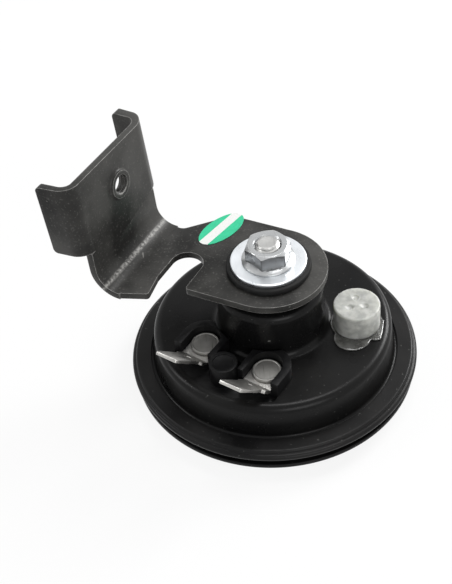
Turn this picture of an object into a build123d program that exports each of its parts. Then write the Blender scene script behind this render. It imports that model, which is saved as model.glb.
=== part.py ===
from build123d import *
import math
import os

# Electromagnetic disc horn, 12 V, in millimetres.
# Z is the horn's axis. The origin lies on that axis, on the surface that the tone disc rests on.

os.makedirs("parts", exist_ok=True)

# ---------------------------------------------------------------- driving dimensions

# Tone disc and the parts clamped to its hub
DISC_THICK = 1.2
DISC_INSET = 0.6
HUB_RISE = 4.0
HUB_FLAT_R = 8.5
TROUGH_INNER_R = 12.8
TROUGH_OUTER_R = 24.5
DISC_RIM_START_R = 28.6
DISC_RIM_RISE = 2.3
DISC_BEND_R = 1.8
HUB_SPACER_THICK = 0.6
HUB_SPACER_R = 7.0
HUB_WASHER_THICK = 0.6
HUB_WASHER_R = 6.5
STEM_R = 2.5
STEM_HEAD_R = 3.9
STEM_HEAD_THICK = 1.2

# Diaphragm and its gasket
DIAPHRAGM_THICK = 0.35
DIAPHRAGM_HOLE_CLEARANCE = 0.1
RIM_GASKET_THICK = 0.4
RIM_GASKET_WIDTH = 3.6
CORRUGATION_INSET = 3.7
CORRUGATION_WIDTH = 3.0
CORRUGATION_RISE = 0.4

# Clamp ring, rolled round the flange of the shell
RING_SHEET = 0.6
RING_R = 37.0
RING_SHOULDER_INSET = 1.1
RING_TOP_LIP_WIDTH = 3.95
RING_LOWER_LIP_WIDTH = 3.4
RING_ROLL_R = 0.75
RIM_CLEARANCE = 0.1

# Drawn steel shell
SHEET = 1.0
DRUM_HEIGHT = 9.3
DRUM_INSET = 5.95
DRUM_TAPER = 0.75
DRUM_EDGE_FILLET = 2.0
DRUM_FOOT_FILLET = 0.8
BOSS_HEIGHT = 13.0
BOSS_TOP_R = 13.2
BOSS_FOOT_R = 13.7
BOSS_EDGE_FILLET = 1.9
BOSS_FOOT_FILLET = 0.8

# Pole core and threaded stud, one turned piece
STUD_R = 2.95
STUD_HOLE_CLEARANCE = 0.15
STUD_ABOVE_NUT = 2.0
STUD_DOME = 0.6
CORE_R = 5.0
CORE_LENGTH = 16.6

# Coil
BOBBIN_LENGTH = 17.6
BOBBIN_WALL = 0.8
BOBBIN_FLANGE = 1.0
BOBBIN_R = 11.4
BOBBIN_BORE_CLEARANCE = 0.2
WINDING_INSET = 0.5
LEAD_R = 0.45

# Armature
AIR_GAP = 0.9
PLUNGER_R = 4.75
SEAT_R = 6.0
SEAT_HEIGHT = 1.65
PUSHER_R = 12.0
PUSHER_THICK = 1.4

# Clamp stack on the stud
LOWER_RUBBER_THICK = 3.2
LOWER_RUBBER_R = 10.8
BRACKET_SHEET = 1.8
UPPER_RUBBER_THICK = 1.5
UPPER_RUBBER_R = 10.5
SLEEVE_WALL = 1.2
SLEEVE_FIT = 0.1
WASHER_THICK = 1.0
WASHER_R = 9.4
NUT_FLANGE_R = 6.55
NUT_FLANGE_THICK = 0.9
NUT_SKIRT_R = 5.9
NUT_HEIGHT = 4.9
NUT_ACROSS_FLATS = 10.0
NUT_ANGLE = 9.5
NUT_CHAMFER = 0.8

# Bracket: flat strip, slot, bend, leaning channel (arm frame: X along the arm, Y across it)
ARM_ANGLE = 147.0
BRACKET_HOLE_R = 4.35
STRIP_END_R = 14.4
STRIP_BACK = 13.3
NECK_START = 17.5
NECK_END = 27.0
NECK_OUTER_FILLET = 6.0
NECK_INNER_FILLET = 2.5
STRIP_FRONT = 15.4
SLOT_FROM = 14.8
SLOT_WIDTH = 8.3
SLOT_END = 3.4
CORNER_FILLET = 0.8
FOOT_CORNER_X = 21.9
FOOT_CORNER_Y = 20.8
NECK_BACK = 3.0
FOOT_BACK = 3.9
FOOT_FRONT = 23.8
FACE_X = 33.7
LEAN_ANGLE = 4.5
BEND_R = 5.0
UPRIGHT_TOP = 64.4
CHANNEL_BACK = 6.9
CHANNEL_FRONT = 26.1
CHANNEL_BEND_R = 2.4
WING_REACH = 9.4
WING_BOTTOM = 45.0
WING_CORNER_R = 1.2
TAP_R = 2.5
TAP_BELOW_TOP = 9.4
TAP_Y = 8.1
TAP_COLLAR_R = 3.5
TAP_COLLAR_RISE = 0.8
TAP_COLLAR_FILLET = 0.7

# Terminals (terminal frame: Y points outward from the horn's axis)
TERMINAL_ANGLE = 232.5
RIVET_SPACING = 18.1
RIVET_LINE = 16.7
BLOCK_OUTER_R = 5.95
CHANNEL_HALF_WIDTH = 3.95
INNER_LEG = 1.5
LEG_INSET = 6.4
BLOCK_FRONT_INSET = 2.5
BLOCK_BOSS_CLEARANCE = 0.15
WINDOW_CLEARANCE = 0.1
BLOCK_FLANGE_WIDTH = 0.9
BLOCK_FLANGE_THICK = 1.2
BLOCK_GASKET_THICK = 0.4
WALL_ABOVE_PAD = 3.6
POST_R = 3.5
POST_INSET = 5.8
POST_ABOVE_PAD = 4.4
POST_DISH_R = 2.6
POST_DISH_DEPTH = 0.3
BLADE_THICK = 0.8
BLADE_BASE_WIDTH = 7.7
BLADE_WIDTH = 6.3
BLADE_TIP_WIDTH = 5.0
BLADE_TIP_CHAMFER = 1.3
BLADE_LENGTH = 14.5
BLADE_BASE_LENGTH = 2.6
BLADE_ANGLE = 45.0
BLADE_FOLD = 5.2
BLADE_FOLD_R = 0.5
BLADE_HOLE_R = 0.8
RIVET_R = 1.7
RIVET_HEAD_R = 3.75
RIVET_HEAD_THICK = 0.95
RIVET_TAIL_R = 2.8
RIVET_TAIL_THICK = 0.7
LUG_THICK = 0.8
LUG_R = 3.2
LUG_WIDTH = 3.0
LUG_END_R = 14.4

# Contact breaker
BREAKER_LINE = 16.5
ARM_WIDTH = 5.0
ARM_STEP_AT = 4.2
ARM_STEP_RUN = 2.0
SPRING_THICK = 0.3
SPRING_WIDTH = 4.6
PUSHER_PLAY = 0.15
CONTACT_R = 1.5
CONTACT_HEIGHT = 0.6
STACK_AT = 10.4
STACK_R = 3.2
INSULATOR_THICK = 0.6
STACK_RIVET_R = 1.1
STACK_RIVET_HEAD_R = 2.0
STACK_RIVET_HEAD = 0.4
BUSH_WALL = 0.7
LOWER_INSULATOR_THICK = 0.4
TAB_WIDTH = 3.0
TAB_END_R = 12.4
SPRING_END_BEYOND = 1.9
TONGUE_END_R = 10.6
LEAD_DROP_R = 12.65
LEAD_BEND_R = 1.0
LEAD_ABOVE_FLANGE = 1.0
TONGUE_AT = 15.6
TONGUE_WIDTH = 3.4
CONTACT_AT = 20.0
ARM_END_BEYOND = 2.6

# Adjuster and its cap
ADJUSTER_ANGLE = 347.4
ADJUSTER_LINE = 21.5
SCREW_R = 2.0
SCREW_SLOT = 0.8
SCREW_ABOVE_BUSH = 1.2
BUSH_R = 3.6
BUSH_FLANGE_R = 4.8
BUSH_FLANGE_THICK = 0.8
BUSH_ABOVE_PLATE = 3.0
CAP_R = 5.9
CAP_HEIGHT = 7.0
CAP_WALL = 1.2
CAP_EDGE_FILLET = 0.9
CAP_DIMPLE_R = 0.8
CAP_DIMPLE_RING = 2.2
SEALANT_THICK = 0.5
SEALANT_WIDTH = 0.7
SEALANT_FRONT_X = 1.9
SEALANT_FRONT_Y = 5.2
SEALANT_FRONT_LONG = 4.6
SEALANT_FRONT_SHORT = 4.2
SEALANT_SIDE_X = 4.2
SEALANT_SIDE_Y = 2.9
SEALANT_SIDE_LONG = 4.0
SEALANT_SIDE_SHORT = 3.8

# Oval sticker on the neck of the bracket
STICKER_LONG = 7.3
STICKER_SHORT = 3.7
STICKER_THICK = 0.15
STICKER_X = 17.5
STICKER_Y = 7.5
STICKER_ANGLE = 74.6

# ---------------------------------------------------------------- levels along the axis

hub_top = HUB_RISE + DISC_THICK
diaphragm_bottom = hub_top + HUB_SPACER_THICK
diaphragm_top = diaphragm_bottom + DIAPHRAGM_THICK
flange_bottom = diaphragm_top + RIM_GASKET_THICK
flange_top = flange_bottom + SHEET
ring_top = flange_top + RING_SHEET
ring_bottom = diaphragm_bottom - RING_SHEET
plate_top = flange_top + DRUM_HEIGHT
plate_bottom = plate_top - SHEET
boss_top = plate_top + BOSS_HEIGHT
boss_roof = boss_top - SHEET
bracket_bottom = boss_top + LOWER_RUBBER_THICK
bracket_top = bracket_bottom + BRACKET_SHEET
washer_bottom = bracket_top + UPPER_RUBBER_THICK
washer_top = washer_bottom + WASHER_THICK
nut_top = washer_top + NUT_HEIGHT
stud_top = nut_top + STUD_ABOVE_NUT
core_face = boss_roof - CORE_LENGTH
plunger_top = core_face - AIR_GAP
pusher_bottom = diaphragm_top + SEAT_HEIGHT
pusher_top = pusher_bottom + PUSHER_THICK
bobbin_bottom = boss_roof - BOBBIN_LENGTH
spring_bottom = pusher_top + PUSHER_PLAY
spring_top = spring_bottom + SPRING_THICK
arm_top = spring_bottom - 2 * CONTACT_HEIGHT
arm_bottom = arm_top - LUG_THICK
block_top = plate_bottom - BLOCK_GASKET_THICK
block_bottom = block_top - BLOCK_FLANGE_THICK
pad_top = plate_top
strip_top = pad_top + BLADE_THICK
lug_bottom = block_bottom - LUG_THICK
disc_r = RING_R - DISC_INSET
ring_inner_r = RING_R - RING_SHEET - RIM_CLEARANCE
ring_shoulder_r = RING_R - RING_SHOULDER_INSET
ring_top_lip_r = ring_shoulder_r - RING_TOP_LIP_WIDTH
ring_lower_lip_r = RING_R - RING_LOWER_LIP_WIDTH
rim_gasket_inner_r = ring_inner_r - RIM_GASKET_WIDTH
corrugation_r = rim_gasket_inner_r - CORRUGATION_INSET
flange_r = ring_shoulder_r - RING_SHEET - RIM_CLEARANCE
drum_foot_r = RING_R - DRUM_INSET
drum_top_r = drum_foot_r - DRUM_TAPER
block_front_r = drum_top_r - BLOCK_FRONT_INSET
leg_end = block_front_r - LEG_INSET
post_line = block_front_r - POST_INSET
core_bore_r = CORE_R + BOBBIN_BORE_CLEARANCE
winding_r = BOBBIN_R - WINDING_INSET
stud_hole_r = STUD_R + STUD_HOLE_CLEARANCE
sleeve_r = STUD_R + SLEEVE_FIT + SLEEVE_WALL
block_boss_r = BOSS_FOOT_R + BOSS_FOOT_FILLET + BLOCK_BOSS_CLEARANCE


def polar(radius, degrees):
    """Point at a radius and an angle about the horn's axis."""
    return radius * math.cos(math.radians(degrees)), radius * math.sin(math.radians(degrees))


def turned_plane(degrees, height):
    """Horizontal plane at a height, with its X axis at an angle about the horn's axis."""
    return Plane(origin=(0, 0, height), x_dir=(*polar(1, degrees), 0), z_dir=(0, 0, 1))


def save(piece, name):
    """Label a finished piece and write it as its own STEP file."""
    piece.part.label = name
    export_step(piece.part, f"parts/{name}.step")


# ---------------------------------------------------------------- vibrating assembly

# Tone disc: flat hub, round trough that the horn stands on, raised rim.
with BuildPart() as tone_disc:
    with BuildSketch(Plane.XZ):
        with BuildLine():
            disc_underside = FilletPolyline(
                (STEM_R, HUB_RISE),
                (HUB_FLAT_R, HUB_RISE),
                (TROUGH_INNER_R, 0),
                (TROUGH_OUTER_R, 0),
                (DISC_RIM_START_R, DISC_RIM_RISE),
                (disc_r, DISC_RIM_RISE),
                radius=DISC_BEND_R,
            )
            offset(disc_underside, amount=DISC_THICK, side=Side.LEFT)
        make_face()
    revolve(axis=Axis.Z)
save(tone_disc, "tone_disc")

# Armature: plunger, pusher flange that works the breaker, seat, stem and peened head.
with BuildPart() as armature:
    with BuildSketch(Plane.XZ):
        with BuildLine():
            Polyline(
                (0, HUB_RISE - HUB_WASHER_THICK - STEM_HEAD_THICK),
                (STEM_HEAD_R, HUB_RISE - HUB_WASHER_THICK - STEM_HEAD_THICK),
                (STEM_HEAD_R, HUB_RISE - HUB_WASHER_THICK),
                (STEM_R, HUB_RISE - HUB_WASHER_THICK),
                (STEM_R, diaphragm_top),
                (SEAT_R, diaphragm_top),
                (SEAT_R, pusher_bottom),
                (PUSHER_R, pusher_bottom),
                (PUSHER_R, pusher_top),
                (PLUNGER_R, pusher_top),
                (PLUNGER_R, plunger_top),
                (0, plunger_top),
                close=True,
            )
        make_face()
    revolve(axis=Axis.Z)
    fillet(armature.edges().filter_by(GeomType.CIRCLE).sort_by(Axis.Z)[0], radius=STEM_HEAD_THICK * 0.6)
save(armature, "armature")

with BuildPart() as hub_spacer:
    with BuildSketch(Plane.XY.offset(hub_top)):
        Circle(HUB_SPACER_R)
        Circle(STEM_R, mode=Mode.SUBTRACT)
    extrude(amount=HUB_SPACER_THICK)
save(hub_spacer, "hub_spacer")

with BuildPart() as hub_washer:
    with BuildSketch(Plane.XY.offset(HUB_RISE - HUB_WASHER_THICK)):
        Circle(HUB_WASHER_R)
        Circle(STEM_R, mode=Mode.SUBTRACT)
    extrude(amount=HUB_WASHER_THICK)
save(hub_washer, "hub_washer")

# Diaphragm: thin spring steel disc with one raised corrugation near the rim.
with BuildPart() as diaphragm:
    with BuildSketch(Plane.XZ):
        with BuildLine():
            diaphragm_underside = FilletPolyline(
                (STEM_R + DIAPHRAGM_HOLE_CLEARANCE, diaphragm_bottom),
                (corrugation_r - CORRUGATION_WIDTH / 2, diaphragm_bottom),
                (corrugation_r - CORRUGATION_WIDTH / 6, diaphragm_bottom + CORRUGATION_RISE),
                (corrugation_r + CORRUGATION_WIDTH / 6, diaphragm_bottom + CORRUGATION_RISE),
                (corrugation_r + CORRUGATION_WIDTH / 2, diaphragm_bottom),
                (ring_inner_r, diaphragm_bottom),
                radius=CORRUGATION_WIDTH / 6,
            )
            offset(diaphragm_underside, amount=DIAPHRAGM_THICK, side=Side.LEFT)
        make_face()
    revolve(axis=Axis.Z)
save(diaphragm, "diaphragm")

# ---------------------------------------------------------------- rim

with BuildPart() as rim_gasket:
    with BuildSketch(Plane.XY.offset(diaphragm_top)):
        Circle(ring_inner_r)
        Circle(rim_gasket_inner_r, mode=Mode.SUBTRACT)
    extrude(amount=RIM_GASKET_THICK)
save(rim_gasket, "rim_gasket")

# Clamp ring: top lip on the flange, shoulder, groove, outer roll, lower lip under the diaphragm.
ring_step = flange_bottom + RING_SHEET
with BuildPart() as clamp_ring:
    with BuildSketch(Plane.XZ) as ring_section:
        with BuildLine():
            Polyline(
                (ring_top_lip_r, ring_top),
                (ring_shoulder_r, ring_top),
                (ring_shoulder_r, ring_step),
                (RING_R, ring_step),
                (RING_R, ring_bottom),
                (ring_lower_lip_r, ring_bottom),
                (ring_lower_lip_r, diaphragm_bottom),
                (RING_R - RING_SHEET, diaphragm_bottom),
                (RING_R - RING_SHEET, flange_bottom),
                (ring_shoulder_r - RING_SHEET, flange_bottom),
                (ring_shoulder_r - RING_SHEET, flange_top),
                (ring_top_lip_r, flange_top),
                close=True,
            )
        make_face()
        rolled_corners = (
            (ring_shoulder_r, ring_top),
            (RING_R, ring_step),
            (RING_R, ring_bottom),
        )
        for corner in rolled_corners:
            fillet(ring_section.vertices().sort_by_distance((*corner, 0))[0], radius=RING_ROLL_R)
    revolve(axis=Axis.Z)
save(clamp_ring, "clamp_ring")

# ---------------------------------------------------------------- drawn steel shell


def block_outline(grow):
    """Outline of the terminal block in its own frame, grown or shrunk by a clearance."""
    half = RIVET_SPACING / 2
    with BuildSketch() as outline:
        with Locations((half, RIVET_LINE), (-half, RIVET_LINE)):
            Circle(BLOCK_OUTER_R + grow)
        with Locations((0, RIVET_LINE)):
            Rectangle(
                RIVET_SPACING + 2 * (BLOCK_OUTER_R + grow),
                block_front_r,
                align=(Align.CENTER, Align.MIN),
            )
        Circle(block_front_r + min(grow, WINDOW_CLEARANCE), mode=Mode.INTERSECT)
        Circle(block_boss_r - max(min(grow, WINDOW_CLEARANCE), 0), mode=Mode.SUBTRACT)
    return outline.sketch


terminal_x_angle = TERMINAL_ANGLE - 90
adjuster_x, adjuster_y = polar(ADJUSTER_LINE, ADJUSTER_ANGLE)

with BuildPart() as housing:
    with BuildSketch(Plane.XZ):
        with BuildLine():
            shell_outside = FilletPolyline(
                (stud_hole_r, boss_top),
                (BOSS_TOP_R, boss_top),
                (BOSS_FOOT_R, plate_top),
                (drum_top_r, plate_top),
                (drum_foot_r, flange_top),
                (flange_r, flange_top),
                radius=[BOSS_EDGE_FILLET, BOSS_FOOT_FILLET, DRUM_EDGE_FILLET, DRUM_FOOT_FILLET],
            )
            offset(shell_outside, amount=SHEET, side=Side.RIGHT)
        make_face()
    revolve(axis=Axis.Z)
    with BuildSketch(turned_plane(terminal_x_angle, plate_bottom - SHEET)):
        add(block_outline(WINDOW_CLEARANCE))
    extrude(amount=3 * SHEET, mode=Mode.SUBTRACT)
    with Locations((adjuster_x, adjuster_y, plate_bottom)):
        Cylinder(BUSH_R, 3 * SHEET, mode=Mode.SUBTRACT)
save(housing, "housing")

# ---------------------------------------------------------------- core, coil

with BuildPart() as core_stud:
    with BuildSketch(Plane.XZ):
        with BuildLine():
            Polyline(
                (0, core_face),
                (CORE_R, core_face),
                (CORE_R, boss_roof),
                (stud_hole_r, boss_roof),
                (stud_hole_r, boss_top),
                (STUD_R, boss_top),
                (STUD_R, stud_top - STUD_DOME),
                (STUD_R - STUD_DOME, stud_top),
                (0, stud_top),
                close=True,
            )
        make_face()
    revolve(axis=Axis.Z)
save(core_stud, "core_stud")

with BuildPart() as coil_bobbin:
    with BuildSketch(Plane.XZ):
        with BuildLine():
            Polyline(
                (core_bore_r, bobbin_bottom),
                (BOBBIN_R, bobbin_bottom),
                (BOBBIN_R, bobbin_bottom + BOBBIN_FLANGE),
                (core_bore_r + BOBBIN_WALL, bobbin_bottom + BOBBIN_FLANGE),
                (core_bore_r + BOBBIN_WALL, boss_roof - BOBBIN_FLANGE),
                (BOBBIN_R, boss_roof - BOBBIN_FLANGE),
                (BOBBIN_R, boss_roof),
                (core_bore_r, boss_roof),
                close=True,
            )
        make_face()
    revolve(axis=Axis.Z)
save(coil_bobbin, "coil_bobbin")

# ---------------------------------------------------------------- terminal block and terminals

rivet_points = ((RIVET_SPACING / 2, RIVET_LINE), (-RIVET_SPACING / 2, RIVET_LINE))

# Moulding: flange under the plate, two U walls open to the outside, pads for the blades, centre post.
with BuildPart() as terminal_block:
    with BuildSketch(turned_plane(terminal_x_angle, block_bottom)):
        add(block_outline(BLOCK_FLANGE_WIDTH))
    extrude(amount=BLOCK_FLANGE_THICK)
    for side in (1, -1):
        rivet_x = side * RIVET_SPACING / 2
        inner_x = side * (RIVET_SPACING / 2 - CHANNEL_HALF_WIDTH - INNER_LEG)
        outer_x = side * (RIVET_SPACING / 2 + BLOCK_OUTER_R)
        with BuildSketch(turned_plane(terminal_x_angle, block_top)) as u_body:
            with Locations((rivet_x, RIVET_LINE)):
                Circle(BLOCK_OUTER_R)
            with Locations(((inner_x + outer_x) / 2, RIVET_LINE)):
                Rectangle(abs(outer_x - inner_x), leg_end - RIVET_LINE, align=(Align.CENTER, Align.MIN))
            Circle(block_boss_r, mode=Mode.SUBTRACT)
            Circle(block_front_r, mode=Mode.INTERSECT)
            with Locations((rivet_x - side * (BLOCK_OUTER_R + INNER_LEG + CHANNEL_HALF_WIDTH), RIVET_LINE)):
                Rectangle(2 * BLOCK_OUTER_R, 4 * BLOCK_OUTER_R, mode=Mode.SUBTRACT)
        extrude(amount=pad_top + WALL_ABOVE_PAD - block_top)
        with BuildSketch(turned_plane(terminal_x_angle, pad_top)) as u_channel:
            with Locations((rivet_x, RIVET_LINE)):
                Circle(CHANNEL_HALF_WIDTH)
                Rectangle(
                    2 * CHANNEL_HALF_WIDTH,
                    leg_end,
                    align=(Align.CENTER, Align.MIN),
                )
        extrude(amount=2 * WALL_ABOVE_PAD, mode=Mode.SUBTRACT)
    with BuildSketch(turned_plane(terminal_x_angle, block_top)):
        with Locations((0, post_line)):
            Circle(POST_R)
    extrude(amount=pad_top + POST_ABOVE_PAD - block_top)
    with BuildSketch(turned_plane(terminal_x_angle, pad_top + POST_ABOVE_PAD - POST_DISH_DEPTH)):
        with Locations((0, post_line)):
            Circle(POST_DISH_R)
    extrude(amount=2 * POST_DISH_DEPTH, mode=Mode.SUBTRACT)
    with BuildSketch(turned_plane(terminal_x_angle, block_bottom)):
        with Locations(*rivet_points):
            Circle(RIVET_R)
    extrude(amount=BLOCK_FLANGE_THICK + plate_top, mode=Mode.SUBTRACT)
save(terminal_block, "terminal_block")

with BuildPart() as block_gasket:
    with BuildSketch(turned_plane(terminal_x_angle, block_top)):
        add(block_outline(BLOCK_FLANGE_WIDTH))
        add(block_outline(0), mode=Mode.SUBTRACT)
    extrude(amount=BLOCK_GASKET_THICK)
save(block_gasket, "block_gasket")


def blade(side):
    """One folded terminal: eye under the rivet, fold, blade rising outward, chamfered tip, hole."""
    rivet_x = side * RIVET_SPACING / 2
    fold_y = RIVET_LINE + BLADE_FOLD
    frame = turned_plane(terminal_x_angle, pad_top)
    fold_point = frame.from_local_coords(Vector(rivet_x, fold_y, BLADE_THICK / 2))
    outward = Vector(*polar(1, TERMINAL_ANGLE), 0)
    slope = outward * math.cos(math.radians(BLADE_ANGLE)) + Vector(0, 0, math.sin(math.radians(BLADE_ANGLE)))
    side_profile = Plane(origin=fold_point, x_dir=outward, z_dir=frame.x_dir)
    blade_plane = Plane(origin=fold_point, x_dir=frame.x_dir, z_dir=frame.x_dir.cross(slope))
    half_base = BLADE_BASE_WIDTH / 2
    half_blade = BLADE_WIDTH / 2
    half_tip = BLADE_TIP_WIDTH / 2
    with BuildPart() as terminal:
        with BuildSketch(side_profile):
            with BuildLine():
                run = FilletPolyline(
                    (-BLADE_FOLD, -BLADE_THICK / 2),
                    (0, -BLADE_THICK / 2),
                    (
                        BLADE_LENGTH * math.cos(math.radians(BLADE_ANGLE)),
                        BLADE_LENGTH * math.sin(math.radians(BLADE_ANGLE)) - BLADE_THICK / 2,
                    ),
                    radius=BLADE_FOLD_R + BLADE_THICK,
                )
                offset(run, amount=BLADE_THICK, side=Side.LEFT)
            make_face()
        extrude(amount=half_base, both=True)
        with BuildSketch(blade_plane) as outline:
            with BuildLine():
                Polyline(
                    (-half_base, -BLADE_LENGTH),
                    (half_base, -BLADE_LENGTH),
                    (half_base, BLADE_BASE_LENGTH),
                    (half_blade, BLADE_BASE_LENGTH + half_base - half_blade),
                    (half_blade, BLADE_LENGTH - BLADE_TIP_CHAMFER),
                    (half_tip, BLADE_LENGTH + BLADE_THICK),
                    (-half_tip, BLADE_LENGTH + BLADE_THICK),
                    (-half_blade, BLADE_LENGTH - BLADE_TIP_CHAMFER),
                    (-half_blade, BLADE_BASE_LENGTH + half_base - half_blade),
                    (-half_base, BLADE_BASE_LENGTH),
                    close=True,
                )
            make_face()
        extrude(amount=BLADE_LENGTH, both=True, mode=Mode.INTERSECT)
        with BuildSketch(blade_plane):
            with Locations((0, BLADE_BASE_LENGTH + BLADE_HOLE_R)):
                Circle(BLADE_HOLE_R)
        extrude(amount=BLADE_THICK, both=True, mode=Mode.SUBTRACT)
        with BuildSketch(frame):
            with Locations((rivet_x, RIVET_LINE)):
                Circle(half_base)
        extrude(amount=BLADE_THICK)
        with BuildSketch(frame):
            with Locations((rivet_x, RIVET_LINE)):
                Circle(RIVET_R)
        extrude(amount=BLADE_THICK, mode=Mode.SUBTRACT)
    return terminal


save(blade(1), "terminal_left")
save(blade(-1), "terminal_right")

# Rivets: low dome outside, shank through blade and block, upset tail on the inner lug.
with BuildPart() as terminal_rivets:
    for point in rivet_points:
        with BuildSketch(turned_plane(terminal_x_angle, strip_top)):
            with Locations(point):
                Circle(RIVET_HEAD_R)
        extrude(amount=RIVET_HEAD_THICK, taper=18)
        with BuildSketch(turned_plane(terminal_x_angle, lug_bottom)):
            with Locations(point):
                Circle(RIVET_R)
        extrude(amount=strip_top - lug_bottom)
        with BuildSketch(turned_plane(terminal_x_angle, lug_bottom - RIVET_TAIL_THICK)):
            with Locations(point):
                Circle(RIVET_TAIL_R)
        extrude(amount=RIVET_TAIL_THICK)
save(terminal_rivets, "terminal_rivets")

# ---------------------------------------------------------------- contact breaker

# Breaker frame: X runs to the adjuster at BREAKER_LINE from the horn's axis, Y points at that axis,
# and the origin lies level with the right-hand rivet.
right_rivet = turned_plane(terminal_x_angle, 0).from_local_coords(Vector(-RIVET_SPACING / 2, RIVET_LINE, 0))
breaker_angle = ADJUSTER_ANGLE - math.degrees(math.acos(BREAKER_LINE / ADJUSTER_LINE)) + 90
breaker_x = Vector(*polar(1, breaker_angle), 0)
adjuster_at = (Vector(adjuster_x, adjuster_y, 0) - right_rivet).dot(breaker_x)
breaker_origin = Vector(adjuster_x, adjuster_y, 0) - breaker_x * adjuster_at
rivet_offset = (right_rivet - breaker_origin).length


def breaker_plane(height):
    """Horizontal plane of the breaker at a height."""
    return Plane(origin=breaker_origin + Vector(0, 0, height), x_dir=breaker_x, z_dir=(0, 0, 1))


# Fixed arm: eye under the right-hand rivet, step down past the block, bar that the adjuster presses.
with BuildPart() as contact_arm:
    with BuildSketch(Plane(origin=breaker_origin, x_dir=breaker_x, z_dir=breaker_x.cross(Vector(0, 0, 1)))):
        with BuildLine():
            arm_underside = Polyline(
                (0, lug_bottom),
                (ARM_STEP_AT, lug_bottom),
                (ARM_STEP_AT + ARM_STEP_RUN, arm_bottom),
                (adjuster_at + ARM_END_BEYOND, arm_bottom),
            )
            offset(arm_underside, amount=LUG_THICK, side=Side.LEFT)
        make_face()
    extrude(amount=ARM_WIDTH / 2, both=True)
    with BuildSketch(breaker_plane(lug_bottom)):
        with Locations((0, rivet_offset)):
            Circle(LUG_R)
    extrude(amount=LUG_THICK)
    with BuildSketch(breaker_plane(lug_bottom)):
        with Locations((0, rivet_offset)):
            Circle(RIVET_R)
    extrude(amount=LUG_THICK, mode=Mode.SUBTRACT)
    with BuildSketch(breaker_plane(arm_bottom)):
        with Locations((STACK_AT, 0)):
            Circle(STACK_RIVET_R + BUSH_WALL)
    extrude(amount=LUG_THICK, mode=Mode.SUBTRACT)
save(contact_arm, "contact_arm")

# Moving leaf: strip from the stack to the contact, tongue over the pusher, tab for the coil's lead.
stack_centre = breaker_plane(0).from_local_coords(Vector(STACK_AT, 0, 0))
stack_r = stack_centre.length
stack_angle = math.degrees(math.atan2(stack_centre.Y, stack_centre.X))
tongue_root_r = breaker_plane(0).from_local_coords(Vector(TONGUE_AT, 0, 0)).length
with BuildPart() as contact_spring:
    with BuildSketch(breaker_plane(spring_bottom)):
        with Locations((STACK_AT, 0)):
            Circle(STACK_R)
        with Locations(((STACK_AT + CONTACT_AT) / 2, 0)):
            Rectangle(CONTACT_AT - STACK_AT, SPRING_WIDTH)
        with Locations((CONTACT_AT, 0)):
            Circle(SPRING_END_BEYOND)
        with Locations((TONGUE_AT, 0)):
            Rectangle(TONGUE_WIDTH, tongue_root_r - TONGUE_END_R, align=(Align.CENTER, Align.MIN))
    extrude(amount=SPRING_THICK)
    with BuildSketch(turned_plane(stack_angle, spring_bottom)):
        with Locations((TAB_END_R, 0)):
            Rectangle(stack_r - TAB_END_R, TAB_WIDTH, align=(Align.MIN, Align.CENTER))
    extrude(amount=SPRING_THICK)
    with BuildSketch(breaker_plane(spring_bottom)):
        with Locations((STACK_AT, 0)):
            Circle(STACK_RIVET_R + BUSH_WALL)
    extrude(amount=SPRING_THICK, mode=Mode.SUBTRACT)
save(contact_spring, "contact_spring")

with BuildPart() as contact_moving:
    with BuildSketch(breaker_plane(spring_bottom - CONTACT_HEIGHT)):
        with Locations((CONTACT_AT, 0)):
            Circle(CONTACT_R)
    extrude(amount=CONTACT_HEIGHT)
save(contact_moving, "contact_moving")

with BuildPart() as contact_fixed:
    with BuildSketch(breaker_plane(arm_top)):
        with Locations((CONTACT_AT, 0)):
            Circle(CONTACT_R)
    extrude(amount=CONTACT_HEIGHT)
save(contact_fixed, "contact_fixed")

# Stack that holds both leaves: shouldered bushes above and below, spacer between, post, rivet.
stack_mid = (arm_top + spring_bottom) / 2
stack_top = spring_top + INSULATOR_THICK
stack_foot = arm_bottom - LOWER_INSULATOR_THICK


def shouldered_bush(washer_from, washer_to, tube_to):
    """Insulating washer with a tube on one face, round the rivet of the stack."""
    with BuildPart() as bush:
        with BuildSketch(breaker_plane(washer_from)):
            with Locations((STACK_AT, 0)):
                Circle(STACK_R)
        extrude(amount=washer_to - washer_from)
        with BuildSketch(breaker_plane(washer_to)):
            with Locations((STACK_AT, 0)):
                Circle(STACK_RIVET_R + BUSH_WALL)
        extrude(amount=tube_to - washer_to)
        with BuildSketch(breaker_plane(min(washer_from, tube_to))):
            with Locations((STACK_AT, 0)):
                Circle(STACK_RIVET_R)
        extrude(amount=abs(tube_to - washer_from), mode=Mode.SUBTRACT)
    return bush


save(shouldered_bush(stack_top, spring_top, stack_mid), "insulator_upper")
save(shouldered_bush(stack_foot, arm_bottom, stack_mid), "insulator_lower")

with BuildPart() as insulator_middle:
    with BuildSketch(breaker_plane(arm_top)):
        with Locations((STACK_AT, 0)):
            Circle(STACK_R)
            Circle(STACK_RIVET_R + BUSH_WALL, mode=Mode.SUBTRACT)
    extrude(amount=spring_bottom - arm_top)
save(insulator_middle, "insulator_middle")

with BuildPart() as contact_post:
    with BuildSketch(breaker_plane(stack_top)):
        with Locations((STACK_AT, 0)):
            Circle(STACK_R)
            Circle(STACK_RIVET_R, mode=Mode.SUBTRACT)
    extrude(amount=plate_bottom - stack_top)
save(contact_post, "contact_post")

with BuildPart() as contact_rivet:
    with BuildSketch(breaker_plane(stack_foot - STACK_RIVET_HEAD)):
        with Locations((STACK_AT, 0)):
            Circle(STACK_RIVET_HEAD_R)
    extrude(amount=STACK_RIVET_HEAD)
    with BuildSketch(breaker_plane(stack_foot)):
        with Locations((STACK_AT, 0)):
            Circle(STACK_RIVET_R)
    extrude(amount=plate_bottom - stack_foot)
save(contact_rivet, "contact_rivet")

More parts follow.
